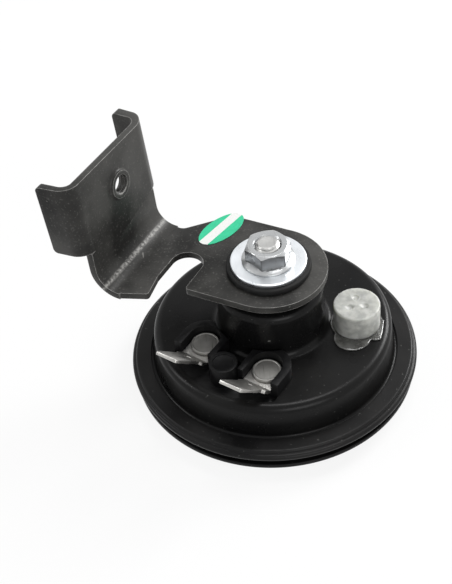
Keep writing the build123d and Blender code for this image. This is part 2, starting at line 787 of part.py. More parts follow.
# Inner lug of the left-hand terminal, its tail toward the coil.
left_rivet = turned_plane(terminal_x_angle, 0).from_local_coords(Vector(RIVET_SPACING / 2, RIVET_LINE, 0))
left_rivet_angle = math.degrees(math.atan2(left_rivet.Y, left_rivet.X))
with BuildPart() as terminal_lug:
    with BuildSketch(turned_plane(left_rivet_angle, lug_bottom)):
        with Locations((left_rivet.length, 0)):
            Circle(LUG_R)
        with Locations((LUG_END_R, 0)):
            Rectangle(left_rivet.length - LUG_END_R, LUG_WIDTH, align=(Align.MIN, Align.CENTER))
        with Locations((left_rivet.length, 0)):
            Circle(RIVET_R, mode=Mode.SUBTRACT)
    extrude(amount=LUG_THICK)
save(terminal_lug, "terminal_lug")

# Copper winding with its two lead ends: one to the lug, one bent down to the tab of the moving leaf.
winding_bottom = bobbin_bottom + BOBBIN_FLANGE
winding_top = boss_roof - BOBBIN_FLANGE
lead_height = winding_bottom + LEAD_ABOVE_FLANGE
with BuildPart() as coil_winding:
    with BuildSketch(Plane.XY.offset(winding_bottom)):
        Circle(winding_r)
        Circle(core_bore_r + BOBBIN_WALL, mode=Mode.SUBTRACT)
    extrude(amount=winding_top - winding_bottom)
    lug_frame = turned_plane(left_rivet_angle, lug_bottom + LUG_THICK / 2)
    lug_lead_start = lug_frame.from_local_coords(Vector(winding_r - 2 * LEAD_R, 0, 0))
    with BuildSketch(Plane(origin=lug_lead_start, z_dir=lug_frame.x_dir)):
        Circle(LEAD_R)
    extrude(amount=LUG_END_R - winding_r + 2 * LEAD_R)
    stack_frame = turned_plane(stack_angle, 0)
    with BuildLine() as breaker_lead:
        FilletPolyline(
            stack_frame.from_local_coords(Vector(winding_r - 2 * LEAD_R, 0, lead_height)),
            stack_frame.from_local_coords(Vector(LEAD_DROP_R, 0, lead_height)),
            stack_frame.from_local_coords(Vector(LEAD_DROP_R, 0, spring_top)),
            radius=LEAD_BEND_R,
        )
    with BuildSketch(Plane(origin=breaker_lead.line @ 0, z_dir=breaker_lead.line % 0)):
        Circle(LEAD_R)
    sweep(path=breaker_lead.line)
save(coil_winding, "coil_winding")

# ---------------------------------------------------------------- adjuster

screw_top = plate_top + BUSH_ABOVE_PLATE + SCREW_ABOVE_BUSH
with BuildPart() as adjuster_bush:
    with BuildSketch(Plane.XY.offset(plate_bottom - BUSH_FLANGE_THICK)):
        with Locations((adjuster_x, adjuster_y)):
            Circle(BUSH_FLANGE_R)
    extrude(amount=BUSH_FLANGE_THICK)
    with BuildSketch(Plane.XY.offset(plate_bottom)):
        with Locations((adjuster_x, adjuster_y)):
            Circle(BUSH_R)
    extrude(amount=SHEET + BUSH_ABOVE_PLATE)
    with Locations((adjuster_x, adjuster_y, plate_bottom)):
        Hole(SCREW_R)
save(adjuster_bush, "adjuster_bush")

with BuildPart() as adjusting_screw:
    with BuildSketch(Plane.XY.offset(arm_top)):
        with Locations((adjuster_x, adjuster_y)):
            Circle(SCREW_R)
    extrude(amount=screw_top - arm_top)
    with BuildSketch(Plane.XY.offset(screw_top - SCREW_SLOT)):
        with Locations((adjuster_x, adjuster_y)):
            Rectangle(2 * SCREW_R, SCREW_SLOT)
    extrude(amount=SCREW_SLOT, mode=Mode.SUBTRACT)
save(adjusting_screw, "adjusting_screw")

with BuildPart() as adjuster_cap:
    with BuildSketch(Plane.XY.offset(plate_top)):
        with Locations((adjuster_x, adjuster_y)):
            Circle(CAP_R)
    extrude(amount=CAP_HEIGHT)
    fillet(adjuster_cap.faces().sort_by(Axis.Z)[-1].edges(), radius=CAP_EDGE_FILLET)
    with BuildSketch(Plane.XY.offset(plate_top)):
        with Locations((adjuster_x, adjuster_y)):
            Circle(CAP_R - CAP_WALL)
    extrude(amount=CAP_HEIGHT - CAP_WALL, mode=Mode.SUBTRACT)
    with BuildSketch(Plane.XY.offset(plate_top + CAP_HEIGHT - CAP_WALL / 4)):
        with Locations((adjuster_x, adjuster_y)):
            with PolarLocations(CAP_DIMPLE_RING, 3):
                Circle(CAP_DIMPLE_R)
    extrude(amount=CAP_WALL, mode=Mode.SUBTRACT)
save(adjuster_cap, "adjuster_cap")

# Sealant round the foot of the cap, with one lobe to the front and one to the outer edge.
with BuildPart() as sealant_bead:
    with BuildSketch(Plane.XY.offset(plate_top)):
        with Locations((adjuster_x, adjuster_y)):
            Circle(CAP_R + SEALANT_WIDTH)
        with Locations((adjuster_x - SEALANT_FRONT_X, adjuster_y - SEALANT_FRONT_Y)):
            Ellipse(SEALANT_FRONT_LONG, SEALANT_FRONT_SHORT)
        with Locations((adjuster_x + SEALANT_SIDE_X, adjuster_y - SEALANT_SIDE_Y)):
            Ellipse(SEALANT_SIDE_LONG, SEALANT_SIDE_SHORT)
        Circle(drum_top_r - DRUM_EDGE_FILLET, mode=Mode.INTERSECT)
        with Locations((adjuster_x, adjuster_y)):
            Circle(CAP_R, mode=Mode.SUBTRACT)
    extrude(amount=SEALANT_THICK)
save(sealant_bead, "sealant_bead")

# ---------------------------------------------------------------- clamp stack on the stud


def ring_piece(outer_r, inner_r, bottom, top):
    """Plain ring about the horn's axis."""
    with BuildPart() as ring:
        with BuildSketch(Plane.XY.offset(bottom)):
            Circle(outer_r)
            Circle(inner_r, mode=Mode.SUBTRACT)
        extrude(amount=top - bottom)
    return ring


stud_clear_r = STUD_R + SLEEVE_FIT
save(ring_piece(LOWER_RUBBER_R, sleeve_r, boss_top, bracket_bottom), "lower_rubber_washer")
save(ring_piece(UPPER_RUBBER_R, sleeve_r, bracket_top, washer_bottom), "upper_rubber_washer")
save(ring_piece(sleeve_r, stud_clear_r, boss_top, washer_bottom), "spacer_sleeve")
save(ring_piece(WASHER_R, stud_clear_r, washer_bottom, washer_top), "plain_washer")

# Hexagon nut with flange: chamfered corners, conical skirt, countersunk thread.
hex_r = NUT_ACROSS_FLATS / 2 / math.cos(math.radians(30))
with BuildPart() as flange_nut:
    with BuildSketch(Plane.XY.offset(washer_top)):
        RegularPolygon(hex_r, 6, rotation=NUT_ANGLE)
    extrude(amount=NUT_HEIGHT)
    with BuildSketch(Plane.XZ):
        Polygon(
            (0, washer_top),
            (hex_r, washer_top),
            (hex_r, nut_top - NUT_CHAMFER),
            (NUT_ACROSS_FLATS / 2 - NUT_CHAMFER / 2, nut_top),
            (0, nut_top),
            align=None,
        )
    revolve(axis=Axis.Z, mode=Mode.INTERSECT)
    with BuildSketch(Plane.XZ):
        Polygon(
            (0, washer_top),
            (NUT_FLANGE_R, washer_top),
            (NUT_FLANGE_R, washer_top + NUT_FLANGE_THICK / 2),
            (NUT_SKIRT_R, washer_top + NUT_FLANGE_THICK),
            (0, washer_top + NUT_FLANGE_THICK),
            align=None,
        )
    revolve(axis=Axis.Z)
    with BuildSketch(Plane.XZ):
        Polygon(
            (0, washer_top),
            (STUD_R, washer_top),
            (STUD_R, nut_top - NUT_CHAMFER),
            (STUD_R + NUT_CHAMFER, nut_top),
            (0, nut_top),
            align=None,
        )
    revolve(axis=Axis.Z, mode=Mode.SUBTRACT)
save(flange_nut, "flange_nut")

# ---------------------------------------------------------------- bracket

lean_sin = math.sin(math.radians(LEAN_ANGLE))
lean_cos = math.cos(math.radians(LEAN_ANGLE))
bend_setback = BEND_R * math.tan(math.radians(90 - LEAN_ANGLE) / 2)
bend_start = FACE_X - bend_setback
tap_height = UPRIGHT_TOP - TAP_BELOW_TOP
arm_frame = turned_plane(ARM_ANGLE, 0)
arm_side = Plane(
    origin=arm_frame.from_local_coords(Vector(0, FOOT_FRONT, 0)),
    x_dir=arm_frame.x_dir,
    z_dir=-arm_frame.y_dir,
)
lean_up = arm_frame.x_dir * lean_sin + Vector(0, 0, lean_cos)
lean_out = arm_frame.x_dir * lean_cos - Vector(0, 0, lean_sin)


def on_face(height, across):
    """Point on the horn-side face of the upright, at a height and across the arm."""
    face_x = FACE_X + (height - bracket_top) * math.tan(math.radians(LEAN_ANGLE))
    return arm_frame.from_local_coords(Vector(face_x, across, height))


with BuildPart() as bracket:
    # Flat strip: round end, neck, foot beyond the slot.
    with BuildSketch(turned_plane(ARM_ANGLE, bracket_bottom)) as strip:
        with BuildLine():
            Polyline(
                (0, STRIP_END_R),
                (SLOT_FROM, STRIP_FRONT),
                (SLOT_FROM, STRIP_END_R / 2),
                (SLOT_FROM + SLOT_WIDTH, STRIP_END_R / 2),
                (SLOT_FROM + SLOT_WIDTH, STRIP_END_R),
                (FOOT_CORNER_X, FOOT_CORNER_Y),
                (bend_start, FOOT_FRONT),
                (bend_start, -FOOT_BACK),
                (NECK_END, -NECK_BACK),
                (NECK_START, -STRIP_BACK),
                (0, -STRIP_END_R),
                close=True,
            )
        make_face()
        for corner, corner_r in (
            ((SLOT_FROM, STRIP_FRONT), CORNER_FILLET),
            ((FOOT_CORNER_X, FOOT_CORNER_Y), CORNER_FILLET),
            ((NECK_END, -NECK_BACK), NECK_INNER_FILLET),
            ((NECK_START, -STRIP_BACK), NECK_OUTER_FILLET),
        ):
            fillet(strip.vertices().sort_by_distance((*corner, 0))[0], radius=corner_r)
        Circle(STRIP_END_R)
        with Locations((SLOT_FROM + SLOT_WIDTH / 2, SLOT_END + SLOT_WIDTH / 2)):
            Circle(SLOT_WIDTH / 2, mode=Mode.SUBTRACT)
            Rectangle(SLOT_WIDTH, STRIP_END_R / 2, align=(Align.CENTER, Align.MIN), mode=Mode.SUBTRACT)
        Circle(BRACKET_HOLE_R, mode=Mode.SUBTRACT)
    extrude(amount=BRACKET_SHEET)
    # Bend and lower upright, as wide as the foot.
    with BuildSketch(arm_side):
        with BuildLine():
            folded_face = FilletPolyline(
                (bend_start - CORNER_FILLET, bracket_top),
                (FACE_X, bracket_top),
                (FACE_X + (WING_BOTTOM - bracket_top) * lean_sin / lean_cos, WING_BOTTOM),
                radius=BEND_R,
            )
            offset(folded_face, amount=BRACKET_SHEET, side=Side.RIGHT)
        make_face()
    extrude(amount=FOOT_FRONT + FOOT_BACK)
    # Channel: the upper part is wider, with both sides bent away from the horn.
    with BuildSketch(Plane(origin=on_face(WING_BOTTOM, 0), x_dir=lean_out, z_dir=lean_up)):
        with BuildLine():
            channel_outside = FilletPolyline(
                (WING_REACH, CHANNEL_FRONT),
                (0, CHANNEL_FRONT),
                (0, -CHANNEL_BACK),
                (WING_REACH, -CHANNEL_BACK),
                radius=CHANNEL_BEND_R + BRACKET_SHEET,
            )
            offset(channel_outside, amount=BRACKET_SHEET, side=Side.LEFT)
        make_face()
    extrude(amount=(UPRIGHT_TOP - WING_BOTTOM) / lean_cos)
    # Drawn and tapped hole, its collar on the horn's side.
    with BuildSketch(Plane(origin=on_face(tap_height, TAP_Y), x_dir=arm_frame.y_dir, z_dir=-lean_out)):
        Circle(TAP_COLLAR_R)
    extrude(amount=TAP_COLLAR_RISE)
    collar_foot = bracket.edges().filter_by(GeomType.CIRCLE).sort_by_distance(on_face(tap_height, TAP_Y))
    fillet(collar_foot[0], radius=TAP_COLLAR_FILLET)
    with BuildSketch(Plane(origin=on_face(tap_height, TAP_Y), x_dir=arm_frame.y_dir, z_dir=-lean_out)):
        Circle(TAP_R)
    extrude(amount=2 * BRACKET_SHEET, both=True, mode=Mode.SUBTRACT)
    outer_corners = bracket.edges().filter_by(
        lambda edge: abs(edge.length - BRACKET_SHEET) < SHEET / 100
        and abs((edge.center() - on_face(WING_BOTTOM, 0)).dot(lean_out) - WING_REACH) < SHEET / 100
    )
    fillet(outer_corners, radius=WING_CORNER_R)
save(bracket, "bracket")

# Thin oval sticker on the neck, one end just over the back edge of the strip.
with BuildPart() as inspection_sticker:
    with BuildSketch(turned_plane(ARM_ANGLE, bracket_top)):
        with Locations((STICKER_X, -STICKER_Y)):
            Ellipse(STICKER_LONG, STICKER_SHORT, rotation=STICKER_ANGLE)
    extrude(amount=STICKER_THICK)
save(inspection_sticker, "inspection_sticker")
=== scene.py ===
import math
import bpy
from mathutils import Matrix, Vector


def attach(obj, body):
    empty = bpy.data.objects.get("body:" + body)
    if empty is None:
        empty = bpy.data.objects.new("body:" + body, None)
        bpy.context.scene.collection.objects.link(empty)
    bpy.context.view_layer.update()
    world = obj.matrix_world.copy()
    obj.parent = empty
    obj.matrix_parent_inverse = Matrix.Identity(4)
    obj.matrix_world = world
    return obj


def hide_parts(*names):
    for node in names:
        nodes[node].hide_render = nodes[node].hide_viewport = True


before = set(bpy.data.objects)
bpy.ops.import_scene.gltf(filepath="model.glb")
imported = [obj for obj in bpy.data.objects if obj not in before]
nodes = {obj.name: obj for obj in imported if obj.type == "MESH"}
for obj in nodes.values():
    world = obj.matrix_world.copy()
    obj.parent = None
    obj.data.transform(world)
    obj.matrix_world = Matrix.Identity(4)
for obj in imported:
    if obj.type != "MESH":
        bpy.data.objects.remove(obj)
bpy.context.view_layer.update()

# ------------------------------------------------------------------ tone disc
# The tone disc is pressed from 1.2 mm sheet: flat hub, round trough that the horn stands on, raised rim.
# It is painted black all over before the horn is put together.

MM = 0.001
TURN_STEPS = 192
HUB_HOLE_R = 2.5 * MM
DISC_BEND = 1.8 * MM
DISC_EDGE = 0.35 * MM
HOLDING_EDGE = 0.25 * MM
LONG_RUN = 6 * HOLDING_EDGE
DOUBLES_WITHIN = 0.001 * MM
SMOOTH_BELOW = 35


def profile_line(corners, arc_steps=6):
    """Outline through (radius, height, fillet) corners: arcs at the fillets, holding edges along the runs."""
    points = []
    for index, (radius, height, fillet) in enumerate(corners):
        here = Vector((radius, height))
        if not fillet:
            points.append(here)
            continue
        to_last = (Vector(corners[index - 1][:2]) - here).normalized()
        to_next = (Vector(corners[(index + 1) % len(corners)][:2]) - here).normalized()
        half_angle = to_last.angle(to_next) / 2
        tangent = fillet / math.tan(half_angle)
        centre = here + (to_last + to_next).normalized() * fillet / math.sin(half_angle)
        first = here + to_last * tangent - centre
        last = here + to_next * tangent - centre
        sweep = first.angle_signed(last)
        for step in range(arc_steps + 1):
            turned = first.copy()
            turned.rotate(Matrix.Rotation(-sweep * step / arc_steps, 2))
            points.append(centre + turned)
    held = []
    for number, point in enumerate(points):
        following = points[(number + 1) % len(points)]
        run = following - point
        held.append(point)
        on_axis = max(point.x, following.x) < HOLDING_EDGE
        if run.length > LONG_RUN and not on_axis:
            held.append(point + run.normalized() * HOLDING_EDGE)
            held.append(following - run.normalized() * HOLDING_EDGE)
    return held


def drawn_outline(name, points):
    """One vertex is extruded along an upright outline of (radius, height) points, back to its start."""
    bpy.ops.object.select_all(action="DESELECT")
    bpy.ops.mesh.primitive_plane_add(size=MM)
    piece = bpy.context.object
    piece.name = name
    bpy.ops.object.mode_set(mode="EDIT")
    bpy.ops.mesh.select_all(action="SELECT")
    bpy.ops.mesh.merge(type="CENTER")
    place = Vector((0, 0, 0))
    for number, point in enumerate(points + points[:1]):
        target = Vector((point.x, 0, point.y))
        if number == 0:
            bpy.ops.transform.translate(value=target)
        else:
            bpy.ops.mesh.extrude_vertices_move(TRANSFORM_OT_translate={"value": target - place})
        place = target
    bpy.ops.mesh.select_all(action="SELECT")
    bpy.ops.mesh.remove_doubles(threshold=DOUBLES_WITHIN)
    return piece


def turned_piece(name, corners, steps=TURN_STEPS, arc_steps=6, smooth=SMOOTH_BELOW):
    """Piece of revolution: the outline is spun round the horn's axis."""
    piece = drawn_outline(name, profile_line(corners, arc_steps))
    bpy.ops.mesh.spin(steps=steps, angle=math.tau, center=(0, 0, 0), axis=(0, 0, 1))
    bpy.ops.mesh.select_all(action="SELECT")
    bpy.ops.mesh.remove_doubles(threshold=DOUBLES_WITHIN)
    bpy.ops.mesh.normals_make_consistent(inside=False)
    bpy.ops.object.mode_set(mode="OBJECT")
    bpy.ops.object.shade_smooth_by_angle(angle=math.radians(smooth))
    return piece


def plain_finish(name, colour, metallic, roughness, specular=0.5):
    """Finish with its plain values on the shader's own sockets, its tree, and the object's coordinates."""
    finish = bpy.data.materials.new(name)
    finish.use_nodes = True
    tree = finish.node_tree
    shader = tree.nodes["Principled BSDF"]
    shader.inputs["Base Color"].default_value = (*colour, 1)
    shader.inputs["Metallic"].default_value = metallic
    shader.inputs["Roughness"].default_value = roughness
    shader.inputs["Specular IOR Level"].default_value = specular
    place = tree.nodes.new("ShaderNodeTexCoord").outputs["Object"]
    return finish, tree, shader, place


def grain(tree, place, waves_per_mm, detail=3, stretch=(1, 1, 1), turn=(0, 0, 0)):
    """Noise in the object's own coordinates, drawn out along an axis where it is stretched."""
    mapping = tree.nodes.new("ShaderNodeMapping")
    mapping.inputs["Rotation"].default_value = turn
    mapping.inputs["Scale"].default_value = stretch
    noise = tree.nodes.new("ShaderNodeTexNoise")
    noise.inputs["Scale"].default_value = waves_per_mm / MM
    noise.inputs["Detail"].default_value = detail
    tree.links.new(place, mapping.inputs["Vector"])
    tree.links.new(mapping.outputs["Vector"], noise.inputs["Vector"])
    return noise.outputs["Fac"]


def between(tree, value, from_low, from_high, low, high):
    """A value stretched from one range to another and held inside it."""
    reach = tree.nodes.new("ShaderNodeMapRange")
    reach.inputs["From Min"].default_value = from_low
    reach.inputs["From Max"].default_value = from_high
    reach.inputs["To Min"].default_value = low
    reach.inputs["To Max"].default_value = high
    tree.links.new(value, reach.inputs["Value"])
    return reach.outputs["Result"]


def blended(tree, share, first, second):
    """Two colours mixed by a share; each is a plain colour or the output of a node."""
    mix = tree.nodes.new("ShaderNodeMix")
    mix.data_type = "RGBA"
    for socket, colour in ((mix.inputs[6], first), (mix.inputs[7], second)):
        if isinstance(colour, tuple):
            socket.default_value = (*colour, 1)
        else:
            tree.links.new(colour, socket)
    tree.links.new(share, mix.inputs[0])
    return mix.outputs[2]


def mottled(tree, value, low, high, first, second):
    """Two colours blended as a value goes from low to high."""
    return blended(tree, between(tree, value, low, high, 0, 1), first, second)


def uneven_gloss(tree, shader, cloud, low, high):
    """Roughness that drifts from low to high with a cloud."""
    tree.links.new(between(tree, cloud, 0.3, 0.7, low, high), shader.inputs["Roughness"])


def relief(tree, shader, *layers):
    """Bumps of (height value, depth in mm) laid one over the other."""
    last = None
    for height, depth in layers:
        bump = tree.nodes.new("ShaderNodeBump")
        bump.inputs["Distance"].default_value = depth * MM
        tree.links.new(height, bump.inputs["Height"])
        if last is not None:
            tree.links.new(last, bump.inputs["Normal"])
        last = bump.outputs["Normal"]
    tree.links.new(last, shader.inputs["Normal"])


def finish_piece(piece, *finishes):
    """A modelled piece takes these finishes and no others."""
    piece.data.materials.clear()
    for finish in finishes:
        piece.data.materials.append(finish)


def black_paint(name, dark, light, gloss, dust):
    """Black baked paint: faint orange peel, cloudy gloss, a few dust specks and pale nicks."""
    finish, tree, shader, place = plain_finish(name, dark, 0, gloss, 0.12)
    cloud = grain(tree, place, 0.06, 4)
    peel = grain(tree, place, 1.6, 2)
    speck = between(tree, grain(tree, place, 1.3, 1), 0.74, 0.78, 0, dust)
    nick = between(tree, grain(tree, place, 0.42, 6), 0.745, 0.76, 0, dust)
    painted = mottled(tree, cloud, 0.35, 0.65, dark, light)
    dusty = blended(tree, speck, painted, (0.12, 0.12, 0.115))
    tree.links.new(blended(tree, nick, dusty, (0.2, 0.2, 0.19)), shader.inputs["Base Color"])
    uneven_gloss(tree, shader, cloud, gloss - 0.05, gloss + 0.07)
    relief(tree, shader, (peel, 0.006), (cloud, 0.15))
    return finish


shell_paint = black_paint("shell_paint", (0.005, 0.005, 0.0052), (0.008, 0.0079, 0.0077), 0.27, 0.5)
disc_paint = black_paint("disc_paint", (0.004, 0.004, 0.0042), (0.006, 0.006, 0.0061), 0.4, 0.3)

disc = turned_piece("tone_disc_pressing", [
    (HUB_HOLE_R, 4.0 * MM, 0),
    (8.5 * MM, 4.0 * MM, DISC_BEND),
    (12.8 * MM, 0, DISC_BEND),
    (24.5 * MM, 0, DISC_BEND),
    (28.6 * MM, 2.3 * MM, DISC_BEND),
    (36.4 * MM, 2.3 * MM, DISC_EDGE),
    (36.4 * MM, 3.5 * MM, DISC_EDGE),
    (28.2 * MM, 3.5 * MM, DISC_BEND),
    (24.1 * MM, 1.2 * MM, DISC_BEND),
    (13.2 * MM, 1.2 * MM, DISC_BEND),
    (8.9 * MM, 5.2 * MM, DISC_BEND),
    (HUB_HOLE_R, 5.2 * MM, 0),
])
finish_piece(disc, disc_paint)
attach(disc, "vibrating_disc")
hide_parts("tone_disc")

# ------------------------------------------------------------------ armature, spacer, washer and diaphragm
# The armature is turned from soft iron and zinc plated; its stem is peened over the hub washer under the disc.
# The diaphragm is a thin spring steel disc, blued by its heat treatment, clamped between disc and armature.


def plated_metal(name, colour, roughness, scratch=0.5, cloudy=1.0):
    """Bright plated metal: cloudy plating, fine scratches in two directions, grainy gloss."""
    finish, tree, shader, place = plain_finish(name, colour, 1, roughness)
    cloud = grain(tree, place, 0.25, 5)
    lines = grain(tree, place, 2.2, 2, (1, 0.06, 0.3))
    cross = grain(tree, place, 2.6, 2, (0.05, 1, 0.3), (0, 0, 0.7))
    worn = tuple(channel * 0.72 for channel in colour)
    scored = tuple(channel * 0.55 for channel in colour)
    clouded = blended(tree, between(tree, cloud, 0.35, 0.7, 0, cloudy), colour, worn)
    scratched = between(tree, lines, 0.6, 0.72, 0, scratch)
    tree.links.new(blended(tree, scratched, clouded, scored), shader.inputs["Base Color"])
    uneven_gloss(tree, shader, cloud, roughness - 0.06, roughness + 0.12)
    relief(tree, shader, (lines, 0.004), (cross, 0.004), (cloud, 0.01 * cloudy))
    return finish


def finish_node(finish, *names):
    """A carried-over node takes a finish on its own material slot."""
    for name in names:
        nodes[name].material_slots[0].material = finish


iron_plate = plated_metal("plated_soft_iron", (0.5, 0.49, 0.46), 0.36)
spring_steel = plated_metal("blued_spring_steel", (0.2, 0.21, 0.24), 0.3, 0.3)
finish_node(iron_plate, "armature", "hub_spacer", "hub_washer")
finish_node(spring_steel, "diaphragm")

# ------------------------------------------------------------------ gaskets
# A ring of pressed brown paper lies between diaphragm and flange; a thin one seals the terminal block.
# Both are carried over as they are, and take the paper's fibres as their finish.

gasket_paper, paper_tree, paper_shader, paper_place = plain_finish(
    "gasket_paper", (0.2, 0.13, 0.07), 0, 0.85, 0.2
)
paper_fibre = grain(paper_tree, paper_place, 3.0, 4, (1, 0.25, 1))
paper_colour = mottled(paper_tree, paper_fibre, 0.35, 0.7, (0.24, 0.16, 0.09), (0.12, 0.075, 0.04))
paper_tree.links.new(paper_colour, paper_shader.inputs["Base Color"])
relief(paper_tree, paper_shader, (paper_fibre, 0.03))
finish_node(gasket_paper, "rim_gasket", "block_gasket")

# ------------------------------------------------------------------ clamp ring
# The ring is a steel hoop rolled round the shell's flange: top lip, low shoulder, outer roll, lower lip.
# Rolling leaves a soft shoulder and a faint waviness under the same baked paint as the shell's.

ring = turned_piece("rolled_clamp_ring", [
    (31.95 * MM, 8.15 * MM, 0.12 * MM),
    (31.95 * MM, 7.55 * MM, 0),
    (35.3 * MM, 7.55 * MM, 0),
    (35.3 * MM, 6.55 * MM, 0),
    (36.4 * MM, 6.55 * MM, 0),
    (36.4 * MM, 5.8 * MM, 0),
    (33.6 * MM, 5.8 * MM, 0),
    (33.6 * MM, 5.25 * MM, 0.12 * MM),
    (37.0 * MM, 5.45 * MM, 0.9 * MM),
    (37.0 * MM, 7.15 * MM, 0.8 * MM),
    (36.0 * MM, 7.2 * MM, 0.35 * MM),
    (35.9 * MM, 8.15 * MM, 0.55 * MM),
])
finish_piece(ring, black_paint("ring_paint", (0.0085, 0.0085, 0.0088), (0.0135, 0.0132, 0.013), 0.3, 0.6))
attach(ring, "horn_body")
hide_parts("clamp_ring")

# ------------------------------------------------------------------ drawn shell
# The shell is deep drawn from 1 mm sheet: flange, drum and a tall boss that holds the coil. The terminals'
# window and the adjuster's hole are punched through its top, then it gets its black baked paint.

WINDOW_MIDDLE = (14.85 + 17.85) / 2 * MM
WINDOW_DEPTH = 3.0 * MM
RIVET_PLACES = ((-17.35 * MM, -7.74 * MM), (-2.99 * MM, -18.76 * MM))
ADJUSTER_PLACE = (20.98 * MM, -4.69 * MM)
BLOCK_END_R = 6.05 * MM
WINDOW_OUTER_R = 27.9 * MM
WINDOW_INNER_R = 14.55 * MM
ADJUSTER_HOLE_R = 3.6 * MM


def choose(piece, *others):
    """The piece is made active, selected together with the others."""
    bpy.ops.object.select_all(action="DESELECT")
    for chosen in (*others, piece):
        chosen.select_set(True)
    bpy.context.view_layer.objects.active = piece


def cut_with(piece, tool, operation):
    """The piece is joined to, kept inside or cut away by another one, which is then taken away."""
    choose(piece)
    cut = piece.modifiers.new("cut", "BOOLEAN")
    cut.operation = operation
    cut.solver = "EXACT"
    cut.use_self = True
    cut.object = tool
    bpy.ops.object.modifier_apply(modifier="cut")
    bpy.data.objects.remove(tool)


def punch(radius, place, vertices=96):
    """Round punch through the plate of the shell."""
    bpy.ops.object.select_all(action="DESELECT")
    bpy.ops.mesh.primitive_cylinder_add(
        vertices=vertices, radius=radius, depth=WINDOW_DEPTH, location=(*place, WINDOW_MIDDLE)
    )
    bpy.ops.object.transform_apply(location=True, rotation=True, scale=True)
    return bpy.context.object


shell = turned_piece("drawn_shell", [
    (3.1 * MM, 29.85 * MM, 0),
    (13.2 * MM, 29.85 * MM, 1.9 * MM),
    (13.7 * MM, 16.85 * MM, 1.9 * MM),
    (30.3 * MM, 16.85 * MM, 2.0 * MM),
    (31.05 * MM, 7.55 * MM, 0.8 * MM),
    (35.2 * MM, 7.55 * MM, 0),
    (35.2 * MM, 6.55 * MM, 0),
    (30.13 * MM, 6.55 * MM, 1.8 * MM),
    (29.38 * MM, 15.85 * MM, 1.0 * MM),
    (12.74 * MM, 15.85 * MM, 2.9 * MM),
    (12.24 * MM, 28.85 * MM, 0.9 * MM),
    (3.1 * MM, 28.85 * MM, 0),
], arc_steps=8)
window = punch(BLOCK_END_R, RIVET_PLACES[0])
cut_with(window, punch(BLOCK_END_R, RIVET_PLACES[1]), "UNION")
bpy.ops.object.select_all(action="DESELECT")
bpy.ops.mesh.primitive_cube_add(
    size=1,
    location=(-13.82 * MM, -18.01 * MM, WINDOW_MIDDLE),
    rotation=(0, 0, math.radians(142.5)),
    scale=(30.2 * MM, 12.0 * MM, WINDOW_DEPTH),
)
bpy.ops.object.transform_apply(location=True, rotation=True, scale=True)
cut_with(window, bpy.context.object, "UNION")
cut_with(window, punch(WINDOW_OUTER_R, (0, 0), TURN_STEPS), "INTERSECT")
cut_with(window, punch(WINDOW_INNER_R, (0, 0), TURN_STEPS), "DIFFERENCE")
cut_with(window, punch(ADJUSTER_HOLE_R, ADJUSTER_PLACE), "UNION")
cut_with(shell, window, "DIFFERENCE")
bpy.ops.object.shade_smooth_by_angle(angle=math.radians(SMOOTH_BELOW))
finish_piece(shell, shell_paint)
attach(shell, "horn_body")
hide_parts("housing")

# ------------------------------------------------------------------ core and threaded stud
# Core and stud are one piece turned from soft iron and zinc plated; the M6 thread is rolled at 1 mm pitch.
# The stud is riveted into the roof of the boss, and its end is chamfered above the nut.

THREAD_PITCH = 1.0 * MM
THREAD_CREST_R = 2.95 * MM
THREAD_ROOT_R = 2.4 * MM
THREAD_STEPS = 48
STUD_END = 42.75 * MM


def thread_ridge(name, root_r, crest_r, bottom, turns):
    """Helical ridge of a V thread: its section is screwed up round the axis, then both ends are closed."""
    points = [
        Vector((root_r, bottom)),
        Vector((crest_r, bottom + 0.375 * THREAD_PITCH)),
        Vector((crest_r, bottom + 0.5 * THREAD_PITCH)),
        Vector((root_r, bottom + 0.875 * THREAD_PITCH)),
    ]
    ridge = drawn_outline(name, points)
    bpy.ops.object.mode_set(mode="OBJECT")
    screw = ridge.modifiers.new("screw", "SCREW")
    screw.angle = math.tau
    screw.screw_offset = THREAD_PITCH
    screw.iterations = turns
    screw.steps = THREAD_STEPS
    screw.render_steps = THREAD_STEPS
    bpy.ops.object.modifier_apply(modifier="screw")
    bpy.ops.object.mode_set(mode="EDIT")
    bpy.ops.mesh.select_mode(type="EDGE")
    bpy.ops.mesh.select_all(action="DESELECT")
    bpy.ops.mesh.select_non_manifold()
    bpy.ops.mesh.edge_face_add()
    bpy.ops.mesh.select_mode(type="VERT")
    bpy.ops.mesh.select_all(action="SELECT")
    bpy.ops.mesh.normals_make_consistent(inside=False)
    bpy.ops.object.mode_set(mode="OBJECT")
    return ridge


stud = turned_piece("core_and_threaded_stud", [
    (0, 12.25 * MM, 0),
    (5.0 * MM, 12.25 * MM, 0.3 * MM),
    (5.0 * MM, 28.85 * MM, 0),
    (3.1 * MM, 28.85 * MM, 0),
    (3.1 * MM, 29.85 * MM, 0),
    (2.95 * MM, 29.85 * MM, 0),
    (2.95 * MM, 31.6 * MM, 0),
    (THREAD_ROOT_R, 32.15 * MM, 0),
    (THREAD_ROOT_R, STUD_END, 0.25 * MM),
    (0, STUD_END - 0.12 * MM, 0),
], steps=64, smooth=30)
ridge = thread_ridge("stud_thread", THREAD_ROOT_R - 0.1 * MM, THREAD_CREST_R, 31.6 * MM, 12)
cut_with(ridge, turned_piece("stud_envelope", [
    (0, 31.0 * MM, 0),
    (2.5 * MM, 31.2 * MM, 0),
    (THREAD_CREST_R + 0.05 * MM, 31.7 * MM, 0),
    (THREAD_CREST_R + 0.05 * MM, STUD_END - 0.65 * MM, 0),
    (THREAD_CREST_R - 0.6 * MM, STUD_END - 0.02 * MM, 0),
    (0, STUD_END - 0.02 * MM, 0),
], steps=64), "INTERSECT")
choose(stud, ridge)
bpy.ops.object.join()
bpy.ops.object.shade_smooth_by_angle(angle=math.radians(30))
finish_piece(stud, plated_metal("zinc_stud", (0.5, 0.5, 0.49), 0.3))
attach(stud, "horn_body")
